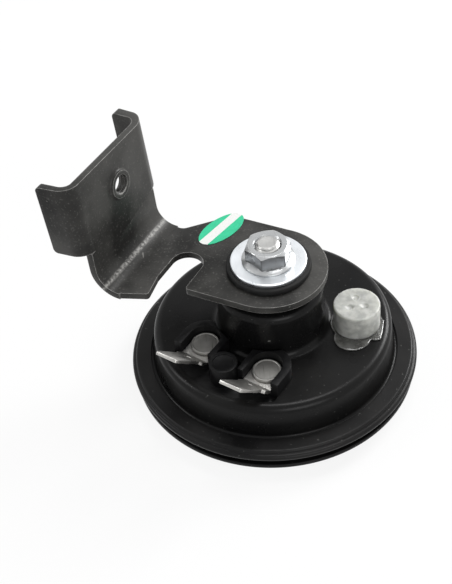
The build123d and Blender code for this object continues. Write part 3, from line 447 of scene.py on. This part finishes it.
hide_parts("core_stud")

# ------------------------------------------------------------------ coil
# A glass-filled nylon bobbin, wound in close layers round the core with enamelled copper wire. The turns
# of wire are fine bands on the winding that is carried over, darker between the turns as painted shade.

bobbin_nylon, bobbin_tree, bobbin_shader, bobbin_place = plain_finish(
    "bobbin_nylon", (0.5, 0.45, 0.36), 0, 0.5
)
bobbin_flow = grain(bobbin_tree, bobbin_place, 0.4, 4)
bobbin_tree.links.new(
    mottled(bobbin_tree, bobbin_flow, 0.35, 0.65, (0.55, 0.5, 0.4), (0.42, 0.37, 0.28)),
    bobbin_shader.inputs["Base Color"],
)
relief(bobbin_tree, bobbin_shader, (grain(bobbin_tree, bobbin_place, 3.0, 3), 0.01))
finish_node(bobbin_nylon, "coil_bobbin")

copper, copper_tree, copper_shader, copper_place = plain_finish("enamelled_copper", (0.55, 0.2, 0.07), 1, 0.28)
wire_turns = copper_tree.nodes.new("ShaderNodeTexWave")
wire_turns.bands_direction = "Z"
wire_turns.inputs["Scale"].default_value = 0.32 / MM
copper_tree.links.new(copper_place, wire_turns.inputs["Vector"])
wire_cloud = grain(copper_tree, copper_place, 0.3, 3)
# Painted shade: the copper is darkened in the grooves between the turns of wire.
copper_tree.links.new(
    blended(copper_tree, wire_turns.outputs["Fac"], (0.22, 0.07, 0.025), (0.62, 0.24, 0.085)),
    copper_shader.inputs["Base Color"],
)
uneven_gloss(copper_tree, copper_shader, wire_cloud, 0.2, 0.4)
relief(copper_tree, copper_shader, (wire_turns.outputs["Fac"], 0.12))
finish_node(copper, "coil_winding")

# ------------------------------------------------------------------ terminal block
# One moulding of black glass-filled nylon: two U walls open to the outside, pads for the blades, and a post
# with a shallow dish between them. It is pressed up into the window of the shell from inside.

SHARP = math.radians(28)
NODE_DOUBLES_WITHIN = 0.002 * MM
FLAT_WITHIN = math.radians(0.4)


def true_flats(piece, angle=SHARP):
    """Smooth bends and rolled edges, with the flats between them shaded as flats."""
    choose(piece)
    bpy.ops.object.shade_smooth_by_angle(angle=angle)
    weighted = piece.modifiers.new("true_flats", "WEIGHTED_NORMAL")
    weighted.weight = 100
    weighted.keep_sharp = True
    bpy.ops.object.modifier_apply(modifier="true_flats")


def roll_edges(piece, edge, segments, *finishes):
    """Sharp edges are rolled over by a bevel, which takes the last of the piece's finishes."""
    finish_piece(piece, *finishes)
    rolled = piece.modifiers.new("rolled_edges", "BEVEL")
    rolled.width = edge
    rolled.segments = segments
    rolled.limit_method = "ANGLE"
    rolled.angle_limit = SHARP
    rolled.material = len(finishes) - 1
    bpy.ops.object.modifier_apply(modifier="rolled_edges")
    bpy.ops.object.shade_smooth_by_angle(angle=SHARP)


def own_copy(source, name):
    """Copy of an object with a mesh of its own."""
    piece = source.copy()
    piece.data = source.data.copy()
    piece.name = name
    bpy.context.collection.objects.link(piece)
    return piece


def merged_copy(node, name):
    """Copy of a node with its loose triangles merged into whole faces."""
    piece = own_copy(nodes[node], name)
    choose(piece)
    bpy.ops.object.mode_set(mode="EDIT")
    bpy.ops.mesh.select_all(action="SELECT")
    bpy.ops.mesh.remove_doubles(threshold=NODE_DOUBLES_WITHIN)
    bpy.ops.mesh.dissolve_limited(angle_limit=FLAT_WITHIN)
    bpy.ops.object.mode_set(mode="OBJECT")
    return piece


def dressed_copy(node, name, edge, segments, *finishes):
    """Merged copy of a node with its sharp edges rolled over."""
    piece = merged_copy(node, name)
    roll_edges(piece, edge, segments, *finishes)
    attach(piece, "horn_body")
    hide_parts(node)
    return piece


BLOCK_BLACK = (0.006, 0.006, 0.0063)
block_plastic, block_tree, block_shader, block_place = plain_finish(
    "block_plastic", BLOCK_BLACK, 0, 0.38, 0.12
)
block_flow = grain(block_tree, block_place, 0.35, 5)
block_dust = between(block_tree, grain(block_tree, block_place, 1.5, 2), 0.74, 0.8, 0, 0.25)
block_colour = blended(block_tree, block_dust, BLOCK_BLACK, (0.05, 0.05, 0.05))
block_tree.links.new(block_colour, block_shader.inputs["Base Color"])
block_gloss = between(block_tree, block_flow, 0.35, 0.65, 0.3, 0.46)
block_tree.links.new(block_gloss, block_shader.inputs["Roughness"])
relief(block_tree, block_shader, (grain(block_tree, block_place, 4.0, 2), 0.008), (block_flow, 0.05))
block = dressed_copy("terminal_block", "terminal_block_moulding", 0.22 * MM, 3, block_plastic)

# ------------------------------------------------------------------ blade terminals
# Two 6.3 mm blades of tinned brass, stamped with a round eye, folded up at 45 degrees, tip chamfered.
# Shearing leaves a brighter line along the cut edges.

tin_plate = plated_metal("tin_plate", (0.46, 0.45, 0.43), 0.34, 0.7)
sheared_tin = plated_metal("sheared_tin_edge", (0.74, 0.73, 0.7), 0.26, 0.3)
for node_name in ("terminal_left", "terminal_right"):
    blade = dressed_copy(node_name, node_name + "_blade", 0.09 * MM, 2, tin_plate, sheared_tin)

# ------------------------------------------------------------------ terminal rivets
# Brass rivets, tinned, hold each blade and the lug inside to the moulding: a low crowned head with a flat
# top and a thin rim outside, an upset tail inside. One is turned and copied to the other side.

rivet = turned_piece("terminal_rivet_left", [
    (0, 12.75 * MM, 0),
    (2.8 * MM, 12.75 * MM, 0.3 * MM),
    (2.8 * MM, 13.45 * MM, 0.1 * MM),
    (1.7 * MM, 13.45 * MM, 0),
    (1.7 * MM, 17.65 * MM, 0),
    (3.75 * MM, 17.65 * MM, 0.1 * MM),
    (3.75 * MM, 18.1 * MM, 0.2 * MM),
    (3.5 * MM, 18.5 * MM, 0.25 * MM),
    (3.2 * MM, 18.5 * MM, 0.15 * MM),
    (3.05 * MM, 18.38 * MM, 0.2 * MM),
    (0, 18.38 * MM, 0),
], steps=64, arc_steps=4, smooth=40)
finish_piece(rivet, plated_metal("tinned_rivet", (0.3, 0.295, 0.28), 0.5, 1.0))
second_rivet = own_copy(rivet, "terminal_rivet_right")
for piece, place in ((rivet, RIVET_PLACES[0]), (second_rivet, RIVET_PLACES[1])):
    piece.data.transform(Matrix.Translation((*place, 0)))
    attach(piece, "horn_body")
    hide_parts("terminal_rivets")

# ------------------------------------------------------------------ contact breaker and lug
# The fixed arm, lug, post and rivet are plated brass; the leaf is spring brass; the contacts are tungsten
# welded on. Red-brown fibre washers and bushes keep the two leaves apart.

contact_brass = plated_metal("contact_brass", (0.62, 0.45, 0.2), 0.32)
leaf_brass = plated_metal("spring_leaf_brass", (0.7, 0.5, 0.22), 0.24, 0.3)
tungsten = plated_metal("contact_tungsten", (0.36, 0.36, 0.38), 0.42, 0.2)
fibre, fibre_tree, fibre_shader, fibre_place = plain_finish(
    "vulcanised_fibre", (0.16, 0.045, 0.025), 0, 0.6, 0.3
)
fibre_grain = grain(fibre_tree, fibre_place, 2.0, 5, (1, 1, 4))
fibre_tree.links.new(
    mottled(fibre_tree, fibre_grain, 0.3, 0.7, (0.2, 0.06, 0.03), (0.1, 0.028, 0.016)),
    fibre_shader.inputs["Base Color"],
)
relief(fibre_tree, fibre_shader, (fibre_grain, 0.02))
finish_node(contact_brass, "contact_arm", "terminal_lug", "contact_post", "contact_rivet")
finish_node(leaf_brass, "contact_spring")
finish_node(tungsten, "contact_fixed", "contact_moving")
finish_node(fibre, "insulator_upper", "insulator_middle", "insulator_lower")

# ------------------------------------------------------------------ adjuster, cap and sealant
# A slotted screw in a pressed brass bush sets the breaker. A white nylon cap with three gate marks covers
# it, and clear lacquer is run round the cap's foot once the note is set.

finish_node(plated_metal("adjuster_brass", (0.6, 0.45, 0.22), 0.3), "adjuster_bush", "adjusting_screw")

cap_nylon, cap_tree, cap_shader, cap_place = plain_finish("cap_nylon", (0.42, 0.425, 0.4), 0, 0.3, 0.4)
cap_cloud = grain(cap_tree, cap_place, 0.5, 4)
cap_tree.links.new(
    mottled(cap_tree, cap_cloud, 0.4, 0.62, (0.5, 0.505, 0.475), (0.35, 0.355, 0.335)),
    cap_shader.inputs["Base Color"],
)
cap_shader.inputs["Subsurface Weight"].default_value = 0.6
cap_shader.inputs["Subsurface Radius"].default_value = (3.0 * MM, 3.0 * MM, 2.6 * MM)
cap_shader.inputs["Subsurface Scale"].default_value = 1.0
uneven_gloss(cap_tree, cap_shader, cap_cloud, 0.28, 0.42)
relief(cap_tree, cap_shader, (grain(cap_tree, cap_place, 2.5, 3), 0.006), (cap_cloud, 0.04))
CAP_TOP = 23.85 * MM
CAP_FOOT = 16.85 * MM
CAP_INSIDE_TOP = 22.65 * MM
DIMPLE_COUNT = 3
DIMPLE_RING_R = 2.2 * MM
DIMPLE_BALL_R = 1.6 * MM
DIMPLE_BALL_ABOVE = 1.25 * MM
cap = turned_piece("adjuster_cap_moulding", [
    (0, CAP_TOP, 0),
    (5.82 * MM, CAP_TOP, 0.45 * MM),
    (5.9 * MM, CAP_FOOT, 0.08 * MM),
    (4.7 * MM, CAP_FOOT, 0.1 * MM),
    (4.7 * MM, CAP_INSIDE_TOP, 0.5 * MM),
    (0, CAP_INSIDE_TOP, 0),
], steps=96)
for number in range(DIMPLE_COUNT):
    dimple_turn = math.radians(90 + 120 * number)
    dimple_x = DIMPLE_RING_R * math.cos(dimple_turn)
    dimple_y = DIMPLE_RING_R * math.sin(dimple_turn)
    bpy.ops.object.select_all(action="DESELECT")
    bpy.ops.mesh.primitive_uv_sphere_add(
        segments=32, ring_count=16, radius=DIMPLE_BALL_R,
        location=(dimple_x, dimple_y, CAP_TOP + DIMPLE_BALL_ABOVE),
    )
    bpy.ops.object.transform_apply(location=True, rotation=True, scale=True)
    cut_with(cap, bpy.context.object, "DIFFERENCE")
cap.data.transform(Matrix.Translation((*ADJUSTER_PLACE, 0)))
true_flats(cap, math.radians(40))
finish_piece(cap, cap_nylon)
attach(cap, "horn_body")
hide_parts("adjuster_cap")

lacquer, lacquer_tree, lacquer_shader, lacquer_place = plain_finish(
    "clear_lacquer", (0.12, 0.12, 0.11), 0, 0.06, 0.5
)
lacquer_swell = grain(lacquer_tree, lacquer_place, 0.35, 2)
lacquer_tree.links.new(
    mottled(lacquer_tree, lacquer_swell, 0.35, 0.65, (0.07, 0.07, 0.065), (0.17, 0.17, 0.16)),
    lacquer_shader.inputs["Base Color"],
)
lacquer_shader.inputs["Transmission Weight"].default_value = 0.35
lacquer_shader.inputs["Coat Weight"].default_value = 0.6
lacquer_shader.inputs["Coat Roughness"].default_value = 0.04
relief(lacquer_tree, lacquer_shader, (lacquer_swell, 0.35))
bead = dressed_copy("sealant_bead", "sealant_run", 0.2 * MM, 3, lacquer)
flowed = bead.modifiers.new("flowed", "REMESH")
flowed.mode = "VOXEL"
flowed.voxel_size = 0.12 * MM
soft = bead.modifiers.new("soft", "SMOOTH")
soft.factor = 0.5
soft.iterations = 12
bpy.context.view_layer.objects.active = bead
bpy.ops.object.modifier_apply(modifier="flowed")
bpy.ops.object.modifier_apply(modifier="soft")
bpy.ops.object.shade_smooth_by_angle(angle=math.radians(60))

# ------------------------------------------------------------------ rubber washers, sleeve and washer
# Two moulded rubber washers bulge a little where bracket and washer squeeze them; a plated steel sleeve
# inside keeps the nut from crushing them. The plain washer is stamped, so its edge is rolled on one side.


def matte_rubber(name, colour):
    """Black moulded rubber: dull, faintly grey with bloom, with the fine grain of its mould."""
    finish, tree, shader, place = plain_finish(name, colour, 0, 0.72, 0.25)
    bloom = grain(tree, place, 0.5, 5)
    pale = tuple(channel * 2.6 for channel in colour)
    tree.links.new(mottled(tree, bloom, 0.45, 0.75, colour, pale), shader.inputs["Base Color"])
    uneven_gloss(tree, shader, bloom, 0.62, 0.85)
    relief(tree, shader, (grain(tree, place, 3.5, 2), 0.012))
    return finish


RUBBER_BORE_R = 4.25 * MM
RUBBER_BULGE = 0.12 * MM
rubber = matte_rubber("moulded_rubber", (0.0065, 0.0065, 0.0065))
for name, node_name, outer_r, bottom, top, edge in (
    ("lower_rubber", "lower_rubber_washer", 10.8 * MM, 29.85 * MM, 33.05 * MM, 0.45 * MM),
    ("upper_rubber", "upper_rubber_washer", 10.5 * MM, 34.85 * MM, 36.35 * MM, 0.35 * MM),
):
    washer = turned_piece(name, [
        (RUBBER_BORE_R, bottom, 0),
        (outer_r - RUBBER_BULGE, bottom, edge),
        (outer_r, (bottom + top) / 2, 1.2 * MM),
        (outer_r - RUBBER_BULGE, top, edge),
        (RUBBER_BORE_R, top, 0),
    ], steps=128, arc_steps=4, smooth=45)
    finish_piece(washer, rubber)
    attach(washer, "horn_body")
    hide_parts(node_name)

zinc = plated_metal("bright_zinc", (0.72, 0.745, 0.77), 0.3, 0.15, 0.3)
finish_node(zinc, "spacer_sleeve")
plain_washer = turned_piece("stamped_washer", [
    (3.05 * MM, 36.35 * MM, 0.08 * MM),
    (9.4 * MM, 36.35 * MM, 0.08 * MM),
    (9.4 * MM, 37.35 * MM, 0.28 * MM),
    (3.05 * MM, 37.35 * MM, 0.15 * MM),
], steps=128, arc_steps=4)
finish_piece(plain_washer, zinc)
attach(plain_washer, "horn_body")
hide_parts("plain_washer")

# ------------------------------------------------------------------ flange nut
# Cold-formed M6 nut, 10 mm across its flats, with a chamfered top, rounded corners and a thin conical
# flange. It is bright zinc plated; its six sides get a darker copy of the zinc as painted shade.

NUT_SEAT = 37.35 * MM
NUT_TOP = 42.25 * MM
HEX_CORNER_R = 5.774 * MM
NUT_TURN = math.radians(9.5)
SIDES_ABOVE = 38.4 * MM
SIDE_STEEPNESS = 0.3

bpy.ops.object.select_all(action="DESELECT")
bpy.ops.mesh.primitive_cylinder_add(
    vertices=6, radius=HEX_CORNER_R, depth=NUT_TOP - NUT_SEAT, location=(0, 0, (NUT_SEAT + NUT_TOP) / 2),
    rotation=(0, 0, NUT_TURN - math.radians(90)),
)
nut = bpy.context.object
nut.name = "flange_nut_plated"
bpy.ops.object.transform_apply(location=True, rotation=True, scale=True)
for edge in nut.data.edges:
    low, high = (nut.data.vertices[number].co for number in edge.vertices)
    edge.select = abs(low.z - high.z) > MM
bpy.ops.object.mode_set(mode="EDIT")
bpy.ops.mesh.select_mode(type="EDGE")
bpy.ops.mesh.bevel(offset=0.28 * MM, segments=5)
bpy.ops.mesh.select_mode(type="VERT")
bpy.ops.object.mode_set(mode="OBJECT")
cut_with(nut, turned_piece("nut_chamfer", [
    (0, NUT_SEAT, 0),
    (5.9 * MM, NUT_SEAT, 0),
    (5.9 * MM, 41.6 * MM, 0),
    (4.75 * MM, NUT_TOP, 0.25 * MM),
    (0, NUT_TOP, 0),
], steps=128), "INTERSECT")
cut_with(nut, turned_piece("nut_skirt", [
    (0, NUT_SEAT, 0),
    (6.55 * MM, NUT_SEAT, 0.1 * MM),
    (6.55 * MM, 37.85 * MM, 0.18 * MM),
    (5.3 * MM, 38.5 * MM, 0),
    (0, 38.5 * MM, 0),
], steps=128), "UNION")
cut_with(nut, turned_piece("nut_bore", [
    (0, NUT_SEAT - MM, 0),
    (2.97 * MM, NUT_SEAT - MM, 0),
    (2.97 * MM, 41.7 * MM, 0),
    (3.55 * MM, NUT_TOP + 0.02 * MM, 0),
    (0, NUT_TOP + 0.02 * MM, 0),
], steps=64), "DIFFERENCE")
true_flats(nut, math.radians(30))
finish_piece(
    nut,
    plated_metal("nut_zinc", (0.46, 0.47, 0.475), 0.26, 0.5, 0.7),
    plated_metal("nut_sides_painted_shade", (0.2, 0.205, 0.21), 0.3, 0.6, 0.7),
)
# Painted shade: the steep sides above the flange take the darker copy of the zinc.
for face in nut.data.polygons:
    face.material_index = int(abs(face.normal.z) < SIDE_STEEPNESS and face.center.z > SIDES_ABOVE)
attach(nut, "horn_body")
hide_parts("flange_nut")

# ------------------------------------------------------------------ bracket
# One strip of 1.8 mm steel: round end under the nut, slot, bend, and a leaning channel whose sides are bent
# back and a little apart. A hole is drawn and tapped M6. The black coating is worn along edges; along the fold
# it is lightened as wear and as a painted highlight.

ARM_TURN = math.radians(147)
LEAN = math.radians(4.5)
STRIP_TOP = 34.85 * MM
UPRIGHT_FOOT = 33.7 * MM
CHANNEL_FOOT = 45.0 * MM
FOOT_MARGIN = 0.05 * MM
CHANNEL_BEND = 4.2 * MM
BACK_SIDE = -6.9 * MM
BACK_SHIFT = -0.6 * MM
BACK_SPREAD = -0.1
FRONT_SIDE = 26.1 * MM
FRONT_SHIFT = -0.7 * MM
FRONT_SPREAD = 0.065
FOLD_CENTRE = Vector((29.08 * MM, 39.85 * MM))
FOLD_TURN = math.radians(36)
EDGE_WEAR = 0.4 * MM

arm_along = Vector((math.cos(ARM_TURN), math.sin(ARM_TURN), 0))
arm_across = Vector((-math.sin(ARM_TURN), math.cos(ARM_TURN), 0))
lean_up = arm_along * math.sin(LEAN) + Vector((0, 0, math.cos(LEAN)))
lean_out = arm_along * math.cos(LEAN) - Vector((0, 0, math.sin(LEAN)))


def on_upright(height, across):
    """Point on the horn's side of the upright."""
    along = UPRIGHT_FOOT + (height - STRIP_TOP) * math.tan(LEAN)
    return arm_along * along + arm_across * across + Vector((0, 0, height))


def set_in_place(piece, x_way, y_way, z_way, origin):
    """Turns and moves a piece's mesh into a frame given by its three directions."""
    turn = Matrix((x_way, y_way, z_way)).transposed().to_4x4()
    piece.data.transform(Matrix.Translation(origin) @ turn)


def maths(tree, operation, *terms):
    """Result of a maths node; each term is a plain number or the output of a node."""
    node = tree.nodes.new("ShaderNodeMath")
    node.operation = operation
    for socket, term in zip(node.inputs, terms):
        if isinstance(term, bpy.types.NodeSocket):
            tree.links.new(term, socket)
        else:
            socket.default_value = term
    return node.outputs[0]


def blackened_steel(name, dark, light, roughness, metallic, fold_wear_and_highlight=0.0):
    """Dark satin coating: cloudy patches, fine speckle, short scratches, wear along the edges, and a band
    along the fold lightened as wear and as a painted highlight.
    """
    finish, tree, shader, place = plain_finish(name, dark, metallic, roughness, 0.16)
    cloud = grain(tree, place, 0.07, 5)
    speckle = grain(tree, place, 1.8, 3)
    scratch = grain(tree, place, 0.9, 4, (1, 0.12, 1), (0.3, 0.2, 0.9))
    smudge = mottled(tree, cloud, 0.38, 0.62, dark, light)
    pale = tuple(channel * 2.2 for channel in light)
    speckled = blended(tree, between(tree, speckle, 0.58, 0.72, 0, 0.5), smudge, pale)
    rubbed = between(tree, scratch, 0.72, 0.77, 0, 0.7)
    coated = blended(tree, rubbed, speckled, (0.2, 0.195, 0.185))
    fold_way = arm_along * math.cos(FOLD_TURN) + Vector((0, 0, math.sin(FOLD_TURN)))
    fold_reach = FOLD_CENTRE.x * math.cos(FOLD_TURN) + FOLD_CENTRE.y * math.sin(FOLD_TURN)
    from_fold = tree.nodes.new("ShaderNodeVectorMath")
    from_fold.operation = "DOT_PRODUCT"
    from_fold.inputs[1].default_value = fold_way
    tree.links.new(place, from_fold.inputs[0])
    distance = maths(tree, "ABSOLUTE", maths(tree, "SUBTRACT", from_fold.outputs["Value"], fold_reach))
    # Along the fold the coating is lightened partly as wear and partly as a painted highlight on the bend.
    fold_band = between(tree, distance, 0.15 * MM, 0.75 * MM, fold_wear_and_highlight, 0)
    fold_grain = between(tree, grain(tree, place, 1.4, 5), 0.38, 0.62, 0.15, 1)
    folded = blended(tree, maths(tree, "MULTIPLY", fold_band, fold_grain), coated, (0.3, 0.295, 0.28))
    rounded = tree.nodes.new("ShaderNodeBevel")
    rounded.samples = 8
    rounded.inputs["Radius"].default_value = EDGE_WEAR
    surface = tree.nodes.new("ShaderNodeNewGeometry")
    turned_away = tree.nodes.new("ShaderNodeVectorMath")
    turned_away.operation = "DOT_PRODUCT"
    tree.links.new(rounded.outputs["Normal"], turned_away.inputs[0])
    tree.links.new(surface.outputs["Normal"], turned_away.inputs[1])
    edge_band = between(tree, turned_away.outputs["Value"], 0.78, 0.97, 0.95, 0)
    edge_grain = between(tree, grain(tree, place, 0.6, 5), 0.35, 0.6, 0.35, 1)
    worn = blended(tree, maths(tree, "MULTIPLY", edge_band, edge_grain), folded, (0.42, 0.415, 0.4))
    tree.links.new(worn, shader.inputs["Base Color"])
    uneven_gloss(tree, shader, cloud, roughness - 0.06, roughness + 0.08)
    relief(tree, shader, (speckle, 0.01), (cloud, 0.12))
    return finish


bracket = merged_copy("bracket", "bracket_folded")
for vertex in bracket.data.vertices:
    from_foot = vertex.co - on_upright(CHANNEL_FOOT, 0)
    across = from_foot.dot(arm_across)
    outward = from_foot.dot(lean_out)
    if from_foot.dot(lean_up) < -FOOT_MARGIN:
        continue
    to_back = min(max((BACK_SIDE + CHANNEL_BEND - across) / CHANNEL_BEND, 0), 1)
    to_front = min(max((across - FRONT_SIDE + CHANNEL_BEND) / CHANNEL_BEND, 0), 1)
    back_move = to_back * (BACK_SHIFT + BACK_SPREAD * outward)
    front_move = to_front * (FRONT_SHIFT + FRONT_SPREAD * outward)
    vertex.co += arm_across * (back_move + front_move)
# The last number sets how far the fold is lightened, as wear and as a painted highlight.
coating = blackened_steel("blackened_steel", (0.014, 0.0137, 0.013), (0.05, 0.049, 0.046), 0.36, 0.0, 0.9)
rubbed_edge = blackened_steel("rubbed_edge", (0.06, 0.059, 0.056), (0.3, 0.295, 0.28), 0.36, 0.6)
roll_edges(bracket, 0.2 * MM, 3, coating, rubbed_edge)

TAP_PLACE = on_upright(55.0 * MM, 8.1 * MM)
TAP_CUT_R = 2.54 * MM
TAP_BOTTOM = -1.7 * MM
TAP_TOP = 0.65 * MM
tap_thread = thread_ridge("tap_thread", 2.56 * MM, 2.2 * MM, -2.2 * MM, 4)
cut_with(tap_thread, turned_piece("tap_length", [
    (0, TAP_BOTTOM, 0),
    (TAP_CUT_R, TAP_BOTTOM, 0),
    (TAP_CUT_R, TAP_TOP, 0),
    (0, TAP_TOP, 0),
], steps=64), "INTERSECT")
set_in_place(tap_thread, lean_up, arm_across, -lean_out, TAP_PLACE)
finish_piece(tap_thread, coating)
choose(bracket, tap_thread)
bpy.ops.object.join()
bpy.ops.object.shade_smooth_by_angle(angle=SHARP)
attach(bracket, "horn_body")
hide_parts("bracket")

# ------------------------------------------------------------------ inspection sticker
# A small oval of thin green film with a bare white band along its middle, pressed by hand on the neck of
# the bracket. It carries no words.

STICKER_CENTRE = (-10.59 * MM, 15.82 * MM)
STICKER_TURN = math.radians(227.3)
BAND_SIDE = -0.27 * MM
BAND_HALF = 1.2 * MM
BAND_SOFT = 0.06 * MM
film, film_tree, film_shader, film_place = plain_finish("sticker_film", (0.03, 0.5, 0.27), 0, 0.38, 0.45)
turned_place = film_tree.nodes.new("ShaderNodeMapping")
turned_place.vector_type = "TEXTURE"
turned_place.inputs["Location"].default_value = (*STICKER_CENTRE, 0)
turned_place.inputs["Rotation"].default_value = (0, 0, STICKER_TURN)
film_tree.links.new(film_place, turned_place.inputs["Vector"])
film_parts = film_tree.nodes.new("ShaderNodeSeparateXYZ")
film_tree.links.new(turned_place.outputs["Vector"], film_parts.inputs[0])
band_reach = maths(film_tree, "ABSOLUTE", maths(film_tree, "SUBTRACT", film_parts.outputs["Y"], BAND_SIDE))
outside_band = between(film_tree, band_reach, BAND_HALF, BAND_HALF + BAND_SOFT, 0, 1)
film_cloud = grain(film_tree, film_place, 0.5, 4)
green = mottled(film_tree, film_cloud, 0.35, 0.65, (0.025, 0.56, 0.29), (0.02, 0.48, 0.25))
film_colour = blended(film_tree, outside_band, (0.78, 0.79, 0.77), green)
film_tree.links.new(film_colour, film_shader.inputs["Base Color"])
relief(film_tree, film_shader, (film_cloud, 0.05), (grain(film_tree, film_place, 3.0, 2), 0.006))
sticker = dressed_copy("inspection_sticker", "inspection_sticker_film", 0.03 * MM, 2, film)

# ------------------------------------------------------------------ studio
# Pale table and backdrop, white to the eye; soft boxes to the right, to the left, above and in front, so
# that the black paint is read by its soft highlights.

TABLE_SIZE = 6.0
TABLE_WHITE = 0.88
SKY_LIGHT = 0.28

bpy.ops.object.select_all(action="DESELECT")
bpy.ops.mesh.primitive_plane_add(size=TABLE_SIZE, location=(0, 0, 0))
table = bpy.context.object
table.name = "table"
bpy.ops.object.mode_set(mode="EDIT")
bpy.ops.mesh.subdivide(number_cuts=3)
bpy.ops.object.mode_set(mode="OBJECT")
table_finish = bpy.data.materials.new("pale_table")
table_finish.use_nodes = True
tree = table_finish.node_tree
tree.nodes.clear()
table_out = tree.nodes.new("ShaderNodeOutputMaterial")
table_mix = tree.nodes.new("ShaderNodeMixShader")
table_diffuse = tree.nodes.new("ShaderNodeBsdfDiffuse")
table_diffuse.inputs["Color"].default_value = (0.8, 0.8, 0.8, 1)
table_glow = tree.nodes.new("ShaderNodeEmission")
table_glow.inputs["Color"].default_value = (1, 1, 1, 1)
table_glow.inputs["Strength"].default_value = 1.0


def background_rays(tree, share):
    """Share of white for the rays that show the background: camera, glossy and transmission rays."""
    rays = tree.nodes.new("ShaderNodeLightPath")
    shown = rays.outputs["Is Camera Ray"]
    for kind in ("Is Glossy Ray", "Is Transmission Ray"):
        shown = maths(tree, "MAXIMUM", shown, rays.outputs[kind])
    return maths(tree, "MULTIPLY", shown, share)


tree.links.new(background_rays(tree, TABLE_WHITE), table_mix.inputs[0])
tree.links.new(table_diffuse.outputs[0], table_mix.inputs[1])
tree.links.new(table_glow.outputs[0], table_mix.inputs[2])
tree.links.new(table_mix.outputs[0], table_out.inputs["Surface"])
table.data.materials.append(table_finish)

world = bpy.data.worlds.new("studio")
bpy.context.scene.world = world
world.use_nodes = True
sky = world.node_tree
sky.nodes.clear()
sky_out = sky.nodes.new("ShaderNodeOutputWorld")
sky_mix = sky.nodes.new("ShaderNodeMixShader")
sky_seen = sky.nodes.new("ShaderNodeBackground")
sky_seen.inputs["Color"].default_value = (1, 1, 1, 1)
sky_light = sky.nodes.new("ShaderNodeBackground")
sky_light.inputs["Color"].default_value = (1, 1, 1, 1)
sky_light.inputs["Strength"].default_value = SKY_LIGHT
sky.links.new(background_rays(sky, 1.0), sky_mix.inputs[0])
sky.links.new(sky_light.outputs[0], sky_mix.inputs[1])
sky.links.new(sky_seen.outputs[0], sky_mix.inputs[2])
sky.links.new(sky_mix.outputs[0], sky_out.inputs["Surface"])

horn_middle = Vector((0, 0, 0.02))
for light_name, place, width, height, power in (
    ("soft_box_right", (0.5, 0.4, 0.42), 0.26, 0.34, 5.4),
    ("soft_box_left", (-0.6, 0.1, 0.5), 0.22, 0.3, 1.3),
    ("soft_box_top", (0.1, 0.2, 0.8), 0.3, 0.22, 2.2),
    ("soft_box_front", (0.25, -0.75, 0.45), 0.5, 0.4, 2.6),
):
    lamp = bpy.data.lights.new(light_name, "AREA")
    lamp.shape = "RECTANGLE"
    lamp.size = width
    lamp.size_y = height
    lamp.energy = power
    stand = bpy.data.objects.new(light_name, lamp)
    bpy.context.collection.objects.link(stand)
    stand.location = place
    stand.rotation_euler = (horn_middle - Vector(place)).to_track_quat("-Z", "Y").to_euler()

# ------------------------------------------------------------------ camera
# The horn is seen from in front and above at 43.6 degrees, with a slight roll. The other views move this
# camera, so it has no shift and no depth of field.

CAMERA_PLACE = Vector((-0.0110, -0.19795, 0.21616))
CAMERA_ELEVATION = math.radians(43.59)
CAMERA_ROLL = math.radians(-5.62)
CAMERA_LENS = 67.81
level_right = Vector((1, 0, 0))
level_up = Vector((0, math.sin(CAMERA_ELEVATION), math.cos(CAMERA_ELEVATION)))
ahead = Vector((0, math.cos(CAMERA_ELEVATION), -math.sin(CAMERA_ELEVATION)))
rolled_right = math.cos(CAMERA_ROLL) * level_right + math.sin(CAMERA_ROLL) * level_up
rolled_up = -math.sin(CAMERA_ROLL) * level_right + math.cos(CAMERA_ROLL) * level_up
camera_data = bpy.data.cameras.new("camera")
camera_data.lens = CAMERA_LENS
camera_data.sensor_width = 36
camera_data.clip_start = 0.01
camera = bpy.data.objects.new("camera", camera_data)
bpy.context.collection.objects.link(camera)
camera.matrix_world = Matrix((
    (rolled_right.x, rolled_up.x, -ahead.x, CAMERA_PLACE.x),
    (rolled_right.y, rolled_up.y, -ahead.y, CAMERA_PLACE.y),
    (rolled_right.z, rolled_up.z, -ahead.z, CAMERA_PLACE.z),
    (0, 0, 0, 1),
))
bpy.context.scene.camera = camera
bpy.context.scene.view_settings.view_transform = "Standard"
